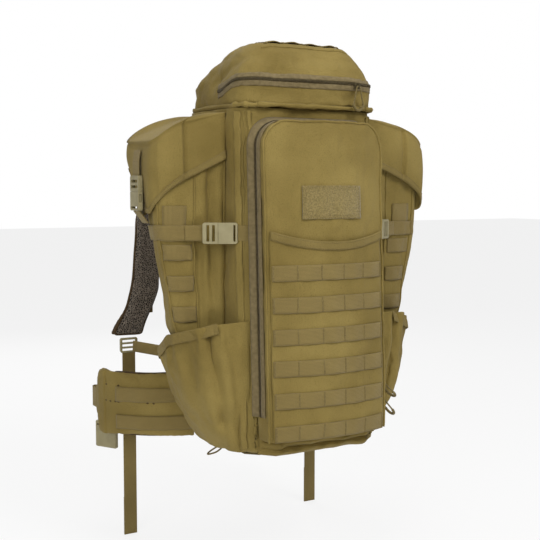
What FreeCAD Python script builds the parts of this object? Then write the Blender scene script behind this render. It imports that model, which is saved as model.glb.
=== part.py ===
"""Hunting backpack: a leaning bag with a zipped front pocket, a lid pocket, two flapped side wings,
wand pockets, a harness and a padded belt.  FreeCAD macro, millimetres, +Z up, front face towards -Y.
Everything is laid out with z = 0 on the bag's base and then moved so that the origin is the point
where the grab handle hangs from a hook."""

import FreeCAD, Part
import math
import os
import re

import Sketcher
from FreeCAD import Placement, Rotation, Vector

doc = FreeCAD.newDocument("hunting_backpack")

# ---------------------------------------------------------------- driving dimensions
SIZES = [
    ("bag_width", 274.0, "main bag, side to side"),
    ("bag_back", 118.0, "bag's back face behind the centre"),
    ("bag_front_low", 100.0, "bag's front face before the centre, at the base"),
    ("bag_front_high", 77.0, "bag's front face before the centre, at the top"),
    ("bag_height", 566.0, "base to the bag's top"),
    ("bag_corner", 36.0, "radius of the bag's upright corners"),
    ("bag_wall", 3.0, "shell fabric with its lining and foam"),
    ("seat_gap", 0.3, "space between sewn pieces that lie on each other"),
    ("base_thick", 2.4, "coated base panel"),
    ("pocket_width", 228.0, "front pocket, side to side"),
    ("pocket_bottom", 28.0, "front pocket's lower edge above the base"),
    ("pocket_margin", 26.0, "bag's front above the front pocket"),
    ("pocket_side", 36.0, "front pocket's side wall"),
    ("pocket_crown", 24.0, "rise of the front pocket's face over its sides"),
    ("pocket_corner", 42.0, "front pocket's top corners"),
    ("pocket_wall", 2.5, "front pocket's fabric"),
    ("mouth_margin", 20.0, "bag front left round the front pocket's mouth"),
    ("tape_thick", 1.4, "zip tape"),
    ("tape_deep", 13.0, "width of one zip tape"),
    ("chain_deep", 4.0, "width of the closed zip chain"),
    ("web_width", 25.4, "webbing of the ladder rows and straps"),
    ("web_thick", 1.4, "webbing"),
    ("row_pitch", 50.8, "one ladder row to the next"),
    ("row_half", 105.0, "half the length of a front ladder row"),
    ("row_first", 3.0, "lowest front row above the pocket's lower edge"),
    ("slip_height", 337.0, "slip pocket's mouth above the front pocket's lower edge"),
    ("slip_sag", 17.0, "sag of the slip pocket's mouth at mid width"),
    ("hem_width", 15.0, "binding on the slip pocket's mouth"),
    ("patch_width", 110.0, "loop patch"),
    ("patch_height", 53.0, "loop patch"),
    ("patch_low", 355.0, "loop patch above the front pocket's lower edge"),
    ("lid_width", 250.0, "lid pocket at its foot"),
    ("lid_front", 84.0, "lid's front before the centre"),
    ("lid_back", 108.0, "lid's back behind the centre"),
    ("lid_height", 106.0, "lid pocket over the bag's top"),
    ("lid_zip", 42.0, "lid's zip above the bag's top"),
    ("lid_corner", 36.0, "lid's upright corners"),
    ("lid_wall", 2.6, "lid's fabric"),
    ("lid_fold", 8.0, "fold line of the lid's cover behind the centre"),
    ("wing_front", 30.0, "wing's front face before the centre"),
    ("wing_back", 112.0, "wing's back face behind the centre"),
    ("wing_mouth", 498.0, "wing's open top above the base"),
    ("wing_foot", 66.0, "wing's bottom above the base"),
    ("wing_reach", 122.0, "wing's front outer corner beyond the bag's side, at the mouth"),
    ("wing_waist", 119.0, "the same at the compression strap"),
    ("wing_low", 90.0, "the same at the wand pocket's mouth"),
    ("wing_tip", 28.0, "the same at the wing's bottom"),
    ("wing_turn", 28.0, "set-back of the wing's front outer corner"),
    ("wing_wall", 2.4, "wing's fabric"),
    ("flap_wall", 2.4, "wing flap's fabric"),
    ("flap_gap", 2.0, "flap over the wing"),
    ("flap_root", 555.0, "flap's fold line on the bag's side, above the base"),
    ("flap_drop", 46.0, "fall of the flap's top from the bag's side to its edge"),
    ("hem_inner", 440.0, "flap's hem above the base, next to the bag"),
    ("hem_outer", 400.0, "flap's hem above the base, at its outer edge"),
    ("tab_length", 46.0, "webbing tabs on the wing"),
    ("wand_reach", 106.0, "wand pocket's outer corner beyond the bag's side, at its mouth"),
    ("wand_front", 226.0, "wand pocket's mouth above the base, at the bag's front edge"),
    ("wand_rear", 150.0, "wand pocket's mouth above the base, at its back"),
    ("wand_wall", 2.0, "wand pocket's stretch fabric"),
    ("strap_level", 362.0, "middle of the compression strap above the base"),
    ("buckle_width", 34.0, "side-release buckle across the webbing"),
    ("buckle_thick", 8.0, "side-release buckle"),
    ("socket_length", 31.0, "buckle's socket"),
    ("plug_base", 25.0, "buckle's plug without its prongs"),
    ("prong_length", 19.0, "buckle's prongs"),
    ("buckle_wall", 1.6, "buckle's walls"),
    ("buckle_fit", 0.35, "plug's clearance in its socket"),
    ("slider_length", 12.0, "zip slider"),
    ("slider_width", 9.0, "zip slider"),
    ("cord_diameter", 2.6, "pull cord"),
    ("grip_diameter", 4.6, "moulded grip of a pull"),
    ("pull_length", 40.0, "pull from its eye to its far end"),
    ("pull_radius", 9.5, "round end of a pull"),
    ("sheet_thick", 2.0, "frame sheet"),
    ("sheet_side", 39.0, "bag's back beside the frame sheet"),
    ("sheet_margin", 60.0, "bag's height less the frame sheet's"),
    ("stay_width", 25.0, "aluminium stay"),
    ("stay_thick", 3.2, "aluminium stay"),
    ("stay_spread", 62.0, "stay's middle beside the centre"),
    ("pad_thick", 14.0, "back pads"),
    ("pad_width", 88.0, "back pads"),
    ("lumbar_width", 220.0, "lumbar pad"),
    ("lumbar_low", 22.0, "lumbar pad's lower edge above the base"),
    ("lumbar_high", 132.0, "lumbar pad's upper edge above the base"),
    ("pad_space", 54.0, "space between the lumbar pad and the back pads"),
    ("lumbar_thick", 24.0, "lumbar pad"),
    ("harness_pad", 12.0, "thickness of the shoulder pads"),
    ("harness_width", 64.0, "width of the shoulder pads"),
    ("harness_drop", 66.0, "shoulder pads' seam under the bag's top"),
    ("harness_foot", 158.0, "shoulder pads' lower ends above the base"),
    ("harness_out", 120.0, "shoulder pads' hang behind the bag's back"),
    ("tail_length", 345.0, "adjusting strap's free tail below its buckle"),
    ("belt_height", 126.0, "hip belt"),
    ("belt_low", -18.0, "hip belt's lower edge against the base"),
    ("belt_thick", 13.0, "hip belt's pad"),
    ("belt_web", 38.0, "hip belt's webbing"),
    ("belt_drop", 78.0, "hanging end of the hip belt's webbing"),
    ("handle_span", 84.0, "grab handle, outside"),
    ("handle_rise", 46.0, "grab handle above the bag's top"),
    ("handle_thick", 4.0, "grab handle's doubled webbing"),
    ("handle_roll", 11.0, "rolled grip of the grab handle"),
]

sheet = doc.addObject("Spreadsheet::Sheet", "Sizes")
for row, (alias, value, note) in enumerate(SIZES, start=1):
    sheet.set(f"A{row}", note)
    sheet.set(f"B{row}", str(value))
    sheet.setAlias(f"B{row}", alias)
doc.recompute()


class Sizes:
    """The sheet's values by name, for shapes that Part's own functions make."""

    def __getattr__(self, name):
        return float(sheet.get(name))


size = Sizes()
pocket_height = size.bag_height - size.pocket_bottom - size.pocket_margin
harness_root = size.bag_height - size.harness_drop
harness_hang = harness_root - size.harness_foot
sheet_width = size.bag_width - 2 * size.sheet_side
ALIASES = re.compile(r"\b(" + "|".join(alias for alias, _, _ in SIZES) + r")\b")


def bound(expression):
    """An expression with each size's name pointed at the sheet."""
    return ALIASES.sub(r"Sizes.\1", str(expression))


# ---------------------------------------------------------------- sketches and features
def new_body(label):
    made = doc.addObject("PartDesign::Body", label)
    made.Label = label
    return made


def polygon(body, name, plane, corners, offset="0"):
    """A closed sketch on an origin plane, each corner pinned by two expressions of the sheet."""
    sketch = body.newObject("Sketcher::SketchObject", name)
    origin_plane = next(f for f in body.Origin.OriginFeatures if f.Role == plane)
    sketch.AttachmentSupport = (origin_plane, [""])
    sketch.MapMode = "FlatFace"
    sketch.setExpression("AttachmentOffset.Base.z", bound(offset))
    where = [tuple(float(sketch.evalExpression(bound(e))) for e in corner) for corner in corners]
    for start, end in zip(where, where[1:] + where[:1]):
        sketch.addGeometry(Part.LineSegment(Vector(*start, 0), Vector(*end, 0)))
    for side in range(len(where)):
        sketch.addConstraint(Sketcher.Constraint("Coincident", side, 2, (side + 1) % len(where), 1))
    for side, corner in enumerate(corners):
        for kind, expression, value in zip(("DistanceX", "DistanceY"), corner, where[side]):
            index = sketch.addConstraint(Sketcher.Constraint(kind, -1, 1, side, 1, value))
            sketch.setExpression(f"Constraints[{index}]", bound(expression))
    return sketch


def pad(body, name, sketch, length, midplane=False):
    feature = body.newObject("PartDesign::Pad", name)
    feature.Profile = sketch
    feature.setExpression("Length", bound(length))
    feature.Midplane = midplane
    sketch.Visibility = False
    return feature


def pocket(body, name, sketch, length):
    """Cuts to both sides of its sketch, so that its direction never matters."""
    doc.recompute()
    before = body.Shape.Volume
    feature = body.newObject("PartDesign::Pocket", name)
    feature.Profile = sketch
    feature.setExpression("Length", bound(length))
    feature.Midplane = True
    doc.recompute()
    assert body.Shape.Volume < before, f"{name} cuts nothing"
    return feature


def box(label, length, width, height, x, y, z):
    """A Part box bound to the sheet: its sizes along X, Y and Z, and its lowest corner."""
    made = doc.addObject("Part::Box", label)
    made.Label = label
    for name, expression in (("Length", length), ("Width", width), ("Height", height)):
        made.setExpression(name, bound(expression))
    for name, expression in (("x", x), ("y", y), ("z", z)):
        made.setExpression(f"Placement.Base.{name}", bound(expression))
    return made


def feature(label, shape, placement=None):
    """A Part::Feature for a sewn form that no sketch feature makes."""
    made = doc.addObject("Part::Feature", label)
    made.Label = label
    made.Shape = shape
    if placement is not None:
        made.Placement = placement
    return made


def mirrored(label, source):
    """The same piece on the other side of the pack."""
    made = doc.addObject("Part::Mirroring", label)
    made.Label = label
    made.Source = source
    made.Normal = Vector(1, 0, 0)
    return made


# ---------------------------------------------------------------- plan outlines and lofts
def round_outline(corners, radii, z):
    """A closed wire at height z: straight sides with a round arc at each corner (no arc where the radius is 0)."""
    count = len(corners)
    points = [Vector(x, y, z) for x, y in corners]
    if isinstance(radii, (int, float)):
        radii = [radii] * count
    starts, arcs, ends = [], [], []
    for i, here in enumerate(points):
        back = points[i - 1] - here
        ahead = points[(i + 1) % count] - here
        radius = min(radii[i], 0.45 * back.Length, 0.45 * ahead.Length)
        turn = math.pi - back.getAngle(ahead)
        run = radius * math.tan(turn / 2)
        start = here + back.normalize() * run
        end = here + ahead.normalize() * run
        if radius > 0:
            inward = (back + ahead).normalize()
            middle = here + inward * (radius / math.cos(turn / 2) - radius)
            arcs.append(Part.Arc(start, middle, end).toShape())
        else:
            arcs.append(None)
        starts.append(start)
        ends.append(end)
    edges = []
    for i in range(count):
        if arcs[i] is not None:
            edges.append(arcs[i])
        edges.append(Part.makeLine(ends[i], starts[(i + 1) % count]))
    return Part.Wire(edges)


def loft(wires, ruled=True):
    solid = Part.makeLoft(wires, True, ruled)
    if solid.Volume < 0:
        solid.reverse()
    return solid


def prism(points, direction):
    """A straight bar: a closed polygon of 3-D points pushed along a direction."""
    return Part.Face(Part.makePolygon(points + points[:1])).extrude(direction)


def grown(corners, outward, inner_side=None):
    """An outline's corners pushed outwards by a distance; corners on the inner side keep their x."""
    count = len(corners)
    turn = sum(
        corners[i][0] * corners[(i + 1) % count][1] - corners[(i + 1) % count][0] * corners[i][1]
        for i in range(count)
    )
    sign = 1.0 if turn > 0 else -1.0
    moved = []
    for i in range(count):
        ax, ay = corners[i - 1]
        bx, by = corners[i]
        cx, cy = corners[(i + 1) % count]
        u = Vector(bx - ax, by - ay, 0).normalize()
        v = Vector(cx - bx, cy - by, 0).normalize()
        nu = Vector(u.y, -u.x, 0) * sign
        nv = Vector(v.y, -v.x, 0) * sign
        both = nu + nv
        step = both * (outward / (both.dot(nu)))
        x, y = bx + step.x, by + step.y
        if inner_side is not None and abs(bx - inner_side) < 1e-6:
            x = inner_side
        moved.append((x, y))
    return moved


# ---------------------------------------------------------------- the bag
def bag_corners(z, inset=0.0):
    """Plan of the bag at a height: its front leans back towards the top."""
    share = z / size.bag_height
    front = size.bag_front_low + (size.bag_front_high - size.bag_front_low) * share
    half = size.bag_width / 2 - inset
    return [(-half, -front + inset), (half, -front + inset), (half, size.bag_back - inset), (-half, size.bag_back - inset)]


def bag_solid(inset, low, high):
    radius = size.bag_corner - inset
    return loft([round_outline(bag_corners(z, inset), radius, z) for z in (low, high)])


bag_lean = math.degrees(math.atan((size.bag_front_low - size.bag_front_high) / size.bag_height))
bag_edge = 3 * size.bag_wall
outer = bag_solid(0, 0, size.bag_height)
rim = [e for e in outer.Edges if abs(e.BoundBox.ZMax - e.BoundBox.ZMin) < 1e-6]
outer = outer.makeFillet(bag_edge, rim)
inner = bag_solid(size.bag_wall, size.bag_wall, size.bag_height - size.bag_wall)
mouth = prism(
    [
        Vector(x, 0, z)
        for x, z in (
            (-size.pocket_width / 2 + size.mouth_margin, size.pocket_bottom + size.mouth_margin),
            (size.pocket_width / 2 - size.mouth_margin, size.pocket_bottom + size.mouth_margin),
            (size.pocket_width / 2 - size.mouth_margin, size.pocket_bottom + pocket_height - 2 * size.mouth_margin),
            (-size.pocket_width / 2 + size.mouth_margin, size.pocket_bottom + pocket_height - 2 * size.mouth_margin),
        )
    ],
    Vector(0, -2 * size.bag_front_low, 0),
)
main_bag = feature("main_bag", outer.cut(inner).cut(mouth))

# ---------------------------------------------------------------- the front pocket, in its own leaning frame
# Its back lies in the plane y = 0 and its lower edge on z = 0; the placement leans it against the bag.
front_at_pocket = size.bag_front_low + (size.bag_front_high - size.bag_front_low) * size.pocket_bottom / size.bag_height
leaning = Placement(
    Vector(0, -front_at_pocket - size.seat_gap, size.pocket_bottom), Rotation(Vector(1, 0, 0), -bag_lean)
)
half_pocket = size.pocket_width / 2
crown_radius = (half_pocket**2 + size.pocket_crown**2) / (2 * size.pocket_crown)
crown_centre = crown_radius - size.pocket_side - size.pocket_crown


def face_point(x, z, off=0.0):
    """A point over the pocket's crowned face, off it by a distance."""
    return Vector(x, crown_centre - math.sqrt((crown_radius + off) ** 2 - x * x), z)


def face_band(x0, x1, z0, z1, off, thick):
    """A strip that follows the crowned face, between two heights."""
    middle = (x0 + x1) / 2
    near = [face_point(x, z0, off) for x in (x0, middle, x1)]
    far = [face_point(x, z0, off + thick) for x in (x1, middle, x0)]
    wire = Part.Wire(
        [
            Part.Arc(*near).toShape(),
            Part.makeLine(near[2], far[0]),
            Part.Arc(*far).toShape(),
            Part.makeLine(far[2], near[0]),
        ]
    )
    return Part.Face(wire).extrude(Vector(0, 0, z1 - z0))


def arch_edges(out, foot, y):
    """The pocket's outline seen from the front, pushed out by a distance: up one side, round and down the other."""
    half = half_pocket + out
    top = pocket_height + out
    radius = size.pocket_corner + out
    slant = radius * math.sqrt(0.5)
    cx, cz = half - radius, top - radius
    points = [
        Vector(-half, y, foot),
        Vector(-half, y, cz),
        Vector(-cx - slant, y, cz + slant),
        Vector(-cx, y, top),
        Vector(cx, y, top),
        Vector(cx + slant, y, cz + slant),
        Vector(half, y, cz),
        Vector(half, y, foot),
    ]
    edges = [
        Part.makeLine(points[0], points[1]),
        Part.Arc(*points[1:4]).toShape(),
        Part.makeLine(points[3], points[4]),
        Part.Arc(*points[4:7]).toShape(),
        Part.makeLine(points[6], points[7]),
    ]
    return points, edges


def arch_block(out, foot, y0, y1):
    """A solid of the pocket's front outline between two depths."""
    points, edges = arch_edges(out, foot, y0)
    return Part.Face(Part.Wire(edges + [Part.makeLine(points[-1], points[0])])).extrude(Vector(0, y1 - y0, 0))


def arch_band(near, far, foot, y0, y1):
    """A tape bent round the pocket's sides and top."""
    deep = 4 * (y1 - y0)
    return arch_block(far, foot, y0, y1).cut(arch_block(near, foot - 1, y0 - deep, y1 + deep))


def crowned_block(inset, low, high, back):
    """The pocket's crowned face and what lies under it, between two heights and a little wider than the pocket."""
    half = half_pocket + size.pocket_wall
    ends = [Vector(-half, back, low), Vector(half, back, low)]
    rim_y = crown_centre - math.sqrt((crown_radius - inset) ** 2 - half**2)
    left, right = Vector(-half, rim_y, low), Vector(half, rim_y, low)
    middle = Vector(0, crown_centre - crown_radius + inset, low)
    wire = Part.Wire(
        [
            Part.makeLine(ends[0], left),
            Part.Arc(left, middle, right).toShape(),
            Part.makeLine(right, ends[1]),
            Part.makeLine(ends[1], ends[0]),
        ]
    )
    return Part.Face(wire).extrude(Vector(0, 0, high - low))


full_depth = size.pocket_side + 2 * size.pocket_crown
pocket_skin = crowned_block(0, 0, pocket_height, 0).common(arch_block(0, 0, -full_depth, 0))
pocket_hollow = crowned_block(
    size.pocket_wall, size.pocket_wall, pocket_height - size.pocket_wall, size.pocket_wall
).common(arch_block(-size.pocket_wall, size.pocket_wall, -full_depth, size.pocket_wall))
front_pocket = feature("front_pocket", pocket_skin.cut(pocket_hollow), leaning)

tape_low = size.row_first + size.web_width
outer_tape = arch_band(size.seat_gap, size.seat_gap + size.tape_thick, tape_low, -size.tape_deep, -size.seat_gap)
chain_y = size.tape_deep + size.seat_gap
chain_out = size.tape_thick + 2 * size.seat_gap
chain = arch_band(size.seat_gap, chain_out, tape_low, -chain_y - size.chain_deep, -chain_y)
front_zip = feature("front_zip", Part.makeCompound([outer_tape, chain]), leaning)
inner_y = chain_y + size.chain_deep + size.seat_gap
front_zip_inner_tape = feature(
    "front_zip_inner_tape",
    arch_band(size.seat_gap, size.seat_gap + size.tape_thick, tape_low, -inner_y - size.tape_deep, -inner_y),
    leaning,
)

slip_half = size.row_half + 2


def sagging_plate(low, high):
    """A plate seen from the front between two heights that both sag at mid width (flat where low is None)."""
    left, right = -slip_half, slip_half
    top = [Vector(right, 0, high), Vector(0, 0, high - size.slip_sag), Vector(left, 0, high)]
    if low is None:
        foot = [Vector(left, 0, 0.5), Vector(right, 0, 0.5)]
        under = Part.makeLine(foot[0], foot[1])
    else:
        foot = [Vector(left, 0, low), Vector(right, 0, low)]
        under = Part.Arc(foot[0], Vector(0, 0, low - size.slip_sag), foot[1]).toShape()
    wire = Part.Wire(
        [under, Part.makeLine(foot[1], top[0]), Part.Arc(*top).toShape(), Part.makeLine(top[2], foot[0])]
    )
    return Part.Face(wire).extrude(Vector(0, -full_depth, 0))


slip_panel = face_band(-slip_half, slip_half, 0, size.slip_height, size.seat_gap, size.web_thick)
slip_sheet = slip_panel.common(sagging_plate(None, size.slip_height))
over_slip = 2 * size.seat_gap + size.web_thick
hem_band = face_band(-slip_half, slip_half, 0, size.slip_height + 1, over_slip, size.web_thick)
slip_hem = hem_band.common(sagging_plate(size.slip_height - size.hem_width, size.slip_height))
slip_pocket = feature("slip_pocket", Part.makeCompound([slip_sheet, slip_hem]), leaning)


def ladder_row(number):
    low = size.row_first + number * size.row_pitch
    return face_band(-size.row_half, size.row_half, low, low + size.web_width, over_slip, size.web_thick)


row_room = size.slip_height - size.slip_sag - size.hem_width - size.row_first - size.web_width
row_count = 1 + int(row_room // size.row_pitch)
front_ladder_rows = feature("front_ladder_rows", Part.makeCompound([ladder_row(n) for n in range(row_count)]), leaning)
loop_patch = feature(
    "loop_patch",
    face_band(
        -size.patch_width / 2,
        size.patch_width / 2,
        size.patch_low,
        size.patch_low + size.patch_height,
        size.seat_gap,
        size.web_thick,
    ),
    leaning,
)

# ---------------------------------------------------------------- the lid pocket
# Shares of the lid's height, with how far its sides and its back have come in there: the back slopes.
lid_slope = size.lid_back - size.lid_fold - 8
lid_levels = [(0.0, 0.0, 0.0), (0.4, 0.0, 0.0), (0.64, 9.0, 0.3), (0.86, 23.0, 0.66), (1.0, 38.0, 1.0)]


def lid_corners(level, back_share, inset):
    """Plan of the lid where its sides have come in by a level and its back by a share of the slope."""
    shrink = level + inset
    half = size.lid_width / 2 - shrink
    back = size.lid_back - back_share * lid_slope - inset
    return [
        (-half, -size.lid_front + shrink * 0.8),
        (half, -size.lid_front + shrink * 0.8),
        (half, back),
        (-half, back),
    ]


def lid_solid(inset):
    """The domed lid, smaller by an inset on every side."""
    low = size.bag_height + size.seat_gap + inset
    rise = size.lid_height - 2 * inset
    wires = []
    for share, level, back_share in lid_levels:
        corners = lid_corners(level, back_share, inset)
        radius = min(size.lid_corner - inset, 0.4 * (corners[2][1] - corners[1][1]))
        wires.append(round_outline(corners, radius, low + rise * share))
    return loft(wires)


def above_zip(gap):
    """The space of the lid's cover: over the zip line, which drops along the sides, and before the fold."""
    foot = size.bag_height + size.seat_gap
    front = foot + size.lid_zip + gap
    side = size.lid_front + 10
    points = [
        Vector(0, -side, front),
        Vector(0, -size.lid_front * 0.6, front),
        Vector(0, -size.lid_front * 0.22, front - size.lid_zip * 0.34),
        Vector(0, size.lid_fold - gap, front - size.lid_zip * 0.38),
        Vector(0, size.lid_fold - gap, foot + 2 * size.lid_height),
        Vector(0, -side, foot + 2 * size.lid_height),
    ]
    half = size.lid_width
    return prism([p - Vector(half, 0, 0) for p in points], Vector(2 * half, 0, 0))


lid_shell = lid_solid(0).cut(lid_solid(size.lid_wall))
lid_cover = feature("lid_cover", lid_shell.common(above_zip(size.seat_gap)))
lid_base = feature("lid_base", lid_shell.cut(above_zip(-size.seat_gap)))

# ---------------------------------------------------------------- the wings
bag_side = size.bag_width / 2
wing_root = bag_side + size.seat_gap


def wing_levels():
    """Heights of the wing with its front outer and back outer corners beyond the bag's side."""
    return [
        (size.wing_foot, size.wing_tip, 0.5 * size.wing_tip, 0.55),
        (size.wing_foot + 0.3 * (size.strap_level - size.wing_foot), 0.6 * size.wing_low, 0.42 * size.wing_low, 0.76),
        (size.wand_front - 30, size.wing_low, 0.64 * size.wing_low, 0.84),
        (size.strap_level, size.wing_waist, 0.69 * size.wing_waist, 0.9),
        (size.wing_mouth, size.wing_reach, 0.92 * size.wing_reach, 1.0),
    ]


def wing_corners(front_reach, back_reach, depth, root=None):
    """Plan of the left wing at one height."""
    root = wing_root if root is None else root
    return [
        (-root, -size.wing_front * depth - 3),
        (-bag_side - 0.45 * front_reach, -size.wing_front * depth - 3),
        (-bag_side - front_reach, -size.wing_front * depth + size.wing_turn),
        (-bag_side - back_reach, size.wing_back * depth - 12),
        (-root, size.wing_back * depth),
    ]


WING_ROUNDS = [0.0, 14.0, 24.0, 22.0, 0.0]


def wing_solid(outward, levels, rounds=WING_ROUNDS):
    wires = []
    for z, front_reach, back_reach, depth in levels:
        corners = grown(wing_corners(front_reach, back_reach, depth), outward, -wing_root)
        if outward < 0:
            corners = [(min(x, -wing_root + outward), y) for x, y in corners]
        wires.append(round_outline(corners, [max(r + outward, 0) if r else 0 for r in rounds], z))
    return loft(wires)


levels = wing_levels()
wing_hollow_levels = [(z + (size.wing_wall if z == size.wing_foot else 0), f, b, d) for z, f, b, d in levels]
wing_hollow_levels[-1] = (levels[-1][0] + 1,) + levels[-1][1:]
left_wing = feature("left_wing", wing_solid(0, levels).cut(wing_solid(-size.wing_wall, wing_hollow_levels)))
right_wing = mirrored("right_wing", left_wing)


def flap_solid(outward, lower):
    """The flap's outer or inner form: it stands over the wing and falls away from the bag."""
    low, high = size.hem_outer - 40, size.flap_root + 40
    reach, back = size.wing_reach, size.wing_reach
    waist = size.wing_waist + 3
    form = wing_solid(outward, [(low, waist, 0.84 * waist, 1.0), (size.wing_mouth, reach, back, 1.02), (high, reach, back, 1.02)])
    root, edge = -wing_root + 50, -bag_side - size.wing_reach - 60
    slope = size.flap_drop / (size.wing_reach + size.seat_gap)
    roof = [
        Vector(root, -300, size.flap_root - lower + slope * 50),
        Vector(edge, -300, size.flap_root - lower - slope * (abs(edge) - wing_root)),
        Vector(edge, -300, high + 80),
        Vector(root, -300, high + 80),
    ]
    return form.cut(prism(roof, Vector(0, 600, 0)))


hem_slope = (size.hem_inner - size.hem_outer) / size.wing_reach
below_hem = prism(
    [
        Vector(-wing_root + 20, -300, size.hem_inner + hem_slope * 20),
        Vector(-wing_root - 2 * size.wing_reach, -300, size.hem_inner - hem_slope * 2 * size.wing_reach),
        Vector(-wing_root - 2 * size.wing_reach, -300, 0),
        Vector(-wing_root + 20, -300, 0),
    ],
    Vector(0, 600, 0),
)
flap_outer = flap_solid(size.flap_gap + size.flap_wall, 0)
flap_inner = flap_solid(size.flap_gap, size.flap_wall)
left_flap = feature("left_flap", flap_outer.cut(flap_inner).cut(below_hem))
right_flap = mirrored("right_flap", left_flap)

# ---------------------------------------------------------------- the wand pockets


def wand_solid(outward, foot, top):
    """A pocket that hugs the bag's foot and swells round the wing's lower end."""
    reach = size.wand_reach
    open_root = -wing_root + 3 * size.wand_wall
    plan = [
        (foot, 0.12, 0.12, 0.78, 0.72),
        (0.16 * size.wand_front, 0.42, 0.3, 0.86, 0.8),
        (0.38 * size.wand_front, 0.74, 0.48, 0.92, 0.88),
        (0.62 * size.wand_front, 0.92, 0.64, 0.96, 0.94),
        (top, 1.0, 0.78, 0.98, 0.98),
    ]
    wires = []
    for z, front_share, back_share, front_depth, back_depth in plan:
        front = bag_corners(z)[0][1] * front_depth
        corners = [
            (-wing_root, front),
            (-bag_side - 0.42 * reach * front_share, front + 4 + 14 * front_share),
            (-bag_side - reach * front_share, -20 + 10 * front_share),
            (-bag_side - reach * back_share, size.wing_back * back_depth - 14),
            (-wing_root, size.wing_back * back_depth),
        ]
        corners = grown(corners, outward, -wing_root)
        if outward < 0:
            corners = [corners[0], *corners[1:4], corners[4]]
            corners[0] = (open_root, corners[0][1])
            corners[4] = (open_root, corners[4][1])
        rounds = [r and max(r + outward, 0.5) for r in (0, 26, 34, 26, 0)]
        wires.append(round_outline(corners, rounds, z))
    return loft(wires)


def over_wand_mouth():
    """All that is above the pocket's slanted mouth."""
    front, back = -size.bag_front_low - 60, size.wing_back + 60
    slope = (size.wand_front - size.wand_rear) / (size.bag_front_low + size.wing_back)
    return prism(
        [
            Vector(-500, front, size.wand_front + slope * 60),
            Vector(-500, back, size.wand_rear - slope * 60),
            Vector(-500, back, 900),
            Vector(-500, front, 900),
        ],
        Vector(600, 0, 0),
    )


wand_top = size.wand_front + 60
wand_shell = wand_solid(0, 1.0, wand_top).cut(wand_solid(-size.wand_wall, 1.0 + size.wand_wall, wand_top + 1))
left_wand_pocket = feature("left_wand_pocket", wand_shell.cut(over_wand_mouth()))
right_wand_pocket = mirrored("right_wand_pocket", left_wand_pocket)

# ---------------------------------------------------------------- webbing, straps and soft bars


def ribbon(path, thick, width):
    """A flat strap along a path that lies across the width vector; thick is one value or one for each point."""
    across = Vector(width).normalize()
    values = [thick] * len(path) if isinstance(thick, (int, float)) else thick
    runs = [(b - a).normalize() for a, b in zip(path, path[1:])]
    over, under = [], []
    for i, point in enumerate(path):
        before, after = runs[max(i - 1, 0)], runs[min(i, len(runs) - 1)]
        flat = across.cross(before).normalize()
        lean = flat + across.cross(after).normalize()
        step = lean * (values[i] / 2 / lean.dot(flat))
        over.append(point + step)
        under.append(point - step)
    return prism([p - width * 0.5 for p in over + under[::-1]], Vector(width))


def smooth(points, steps):
    """More points along a soft curve through the given ones."""
    ends = [points[0] * 2 - points[1]] + points + [points[-1] * 2 - points[-2]]
    path = []
    for i in range(1, len(ends) - 2):
        a, b, c, d = ends[i - 1 : i + 3]
        for k in range(steps):
            t = k / steps
            path.append((b * 2 + (c - a) * t + (a * 2 - b * 5 + c * 4 - d) * t**2 + (b * 3 - a - c * 3 + d) * t**3) * 0.5)
    return path + [points[-1]]


def slab(x0, x1, y0, y1, z0, z1):
    """A plain block between two corners."""
    return Part.makeBox(abs(x1 - x0), abs(y1 - y0), abs(z1 - z0), Vector(min(x0, x1), min(y0, y1), min(z0, z1)))


def soft_block(x0, x1, y0, y1, z0, z1, edge):
    block = slab(x0, x1, y0, y1, z0, z1)
    return block.makeFillet(edge, block.Edges)


half_web = size.web_width / 2
web_mid = size.seat_gap + size.web_thick / 2

# ---------------------------------------------------------------- moulded buckles
# Each lies along +X from its webbing end, across Y, with its thickness on Z about the middle plane.


def buckle_socket(label):
    made = new_body(label)
    side = "buckle_width / 2"
    outline = polygon(
        made,
        label + "_outline",
        "XY_Plane",
        [
            ("0", "2 - " + side),
            ("3", "-" + side),
            ("socket_length", "-" + side),
            ("socket_length", side),
            ("3", side),
            ("0", side + " - 2"),
        ],
    )
    pad(made, label + "_shell", outline, "buckle_thick", midplane=True)
    room = side + " - buckle_wall"
    cavity = polygon(
        made,
        label + "_cavity",
        "XY_Plane",
        [
            ("socket_length - prong_length - 1", "-(" + room + ")"),
            ("socket_length + 1", "-(" + room + ")"),
            ("socket_length + 1", room),
            ("socket_length - prong_length - 1", room),
        ],
    )
    pocket(made, label + "_hollow", cavity, "buckle_thick - 2 * buckle_wall")
    window = polygon(
        made,
        label + "_window",
        "XY_Plane",
        [
            ("socket_length - prong_length + 2", "-" + side + " - 1"),
            ("socket_length - 5", "-" + side + " - 1"),
            ("socket_length - 5", side + " + 1"),
            ("socket_length - prong_length + 2", side + " + 1"),
        ],
    )
    pocket(made, label + "_thumb_windows", window, "buckle_thick - 2 * buckle_wall")
    slot = polygon(
        made,
        label + "_slot",
        "XY_Plane",
        [
            ("3.4", "-web_width / 2 - 0.4"),
            ("6.6", "-web_width / 2 - 0.4"),
            ("6.6", "web_width / 2 + 0.4"),
            ("3.4", "web_width / 2 + 0.4"),
        ],
    )
    pocket(made, label + "_web_slot", slot, "buckle_thick + 2")
    doc.recompute()
    return made


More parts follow.
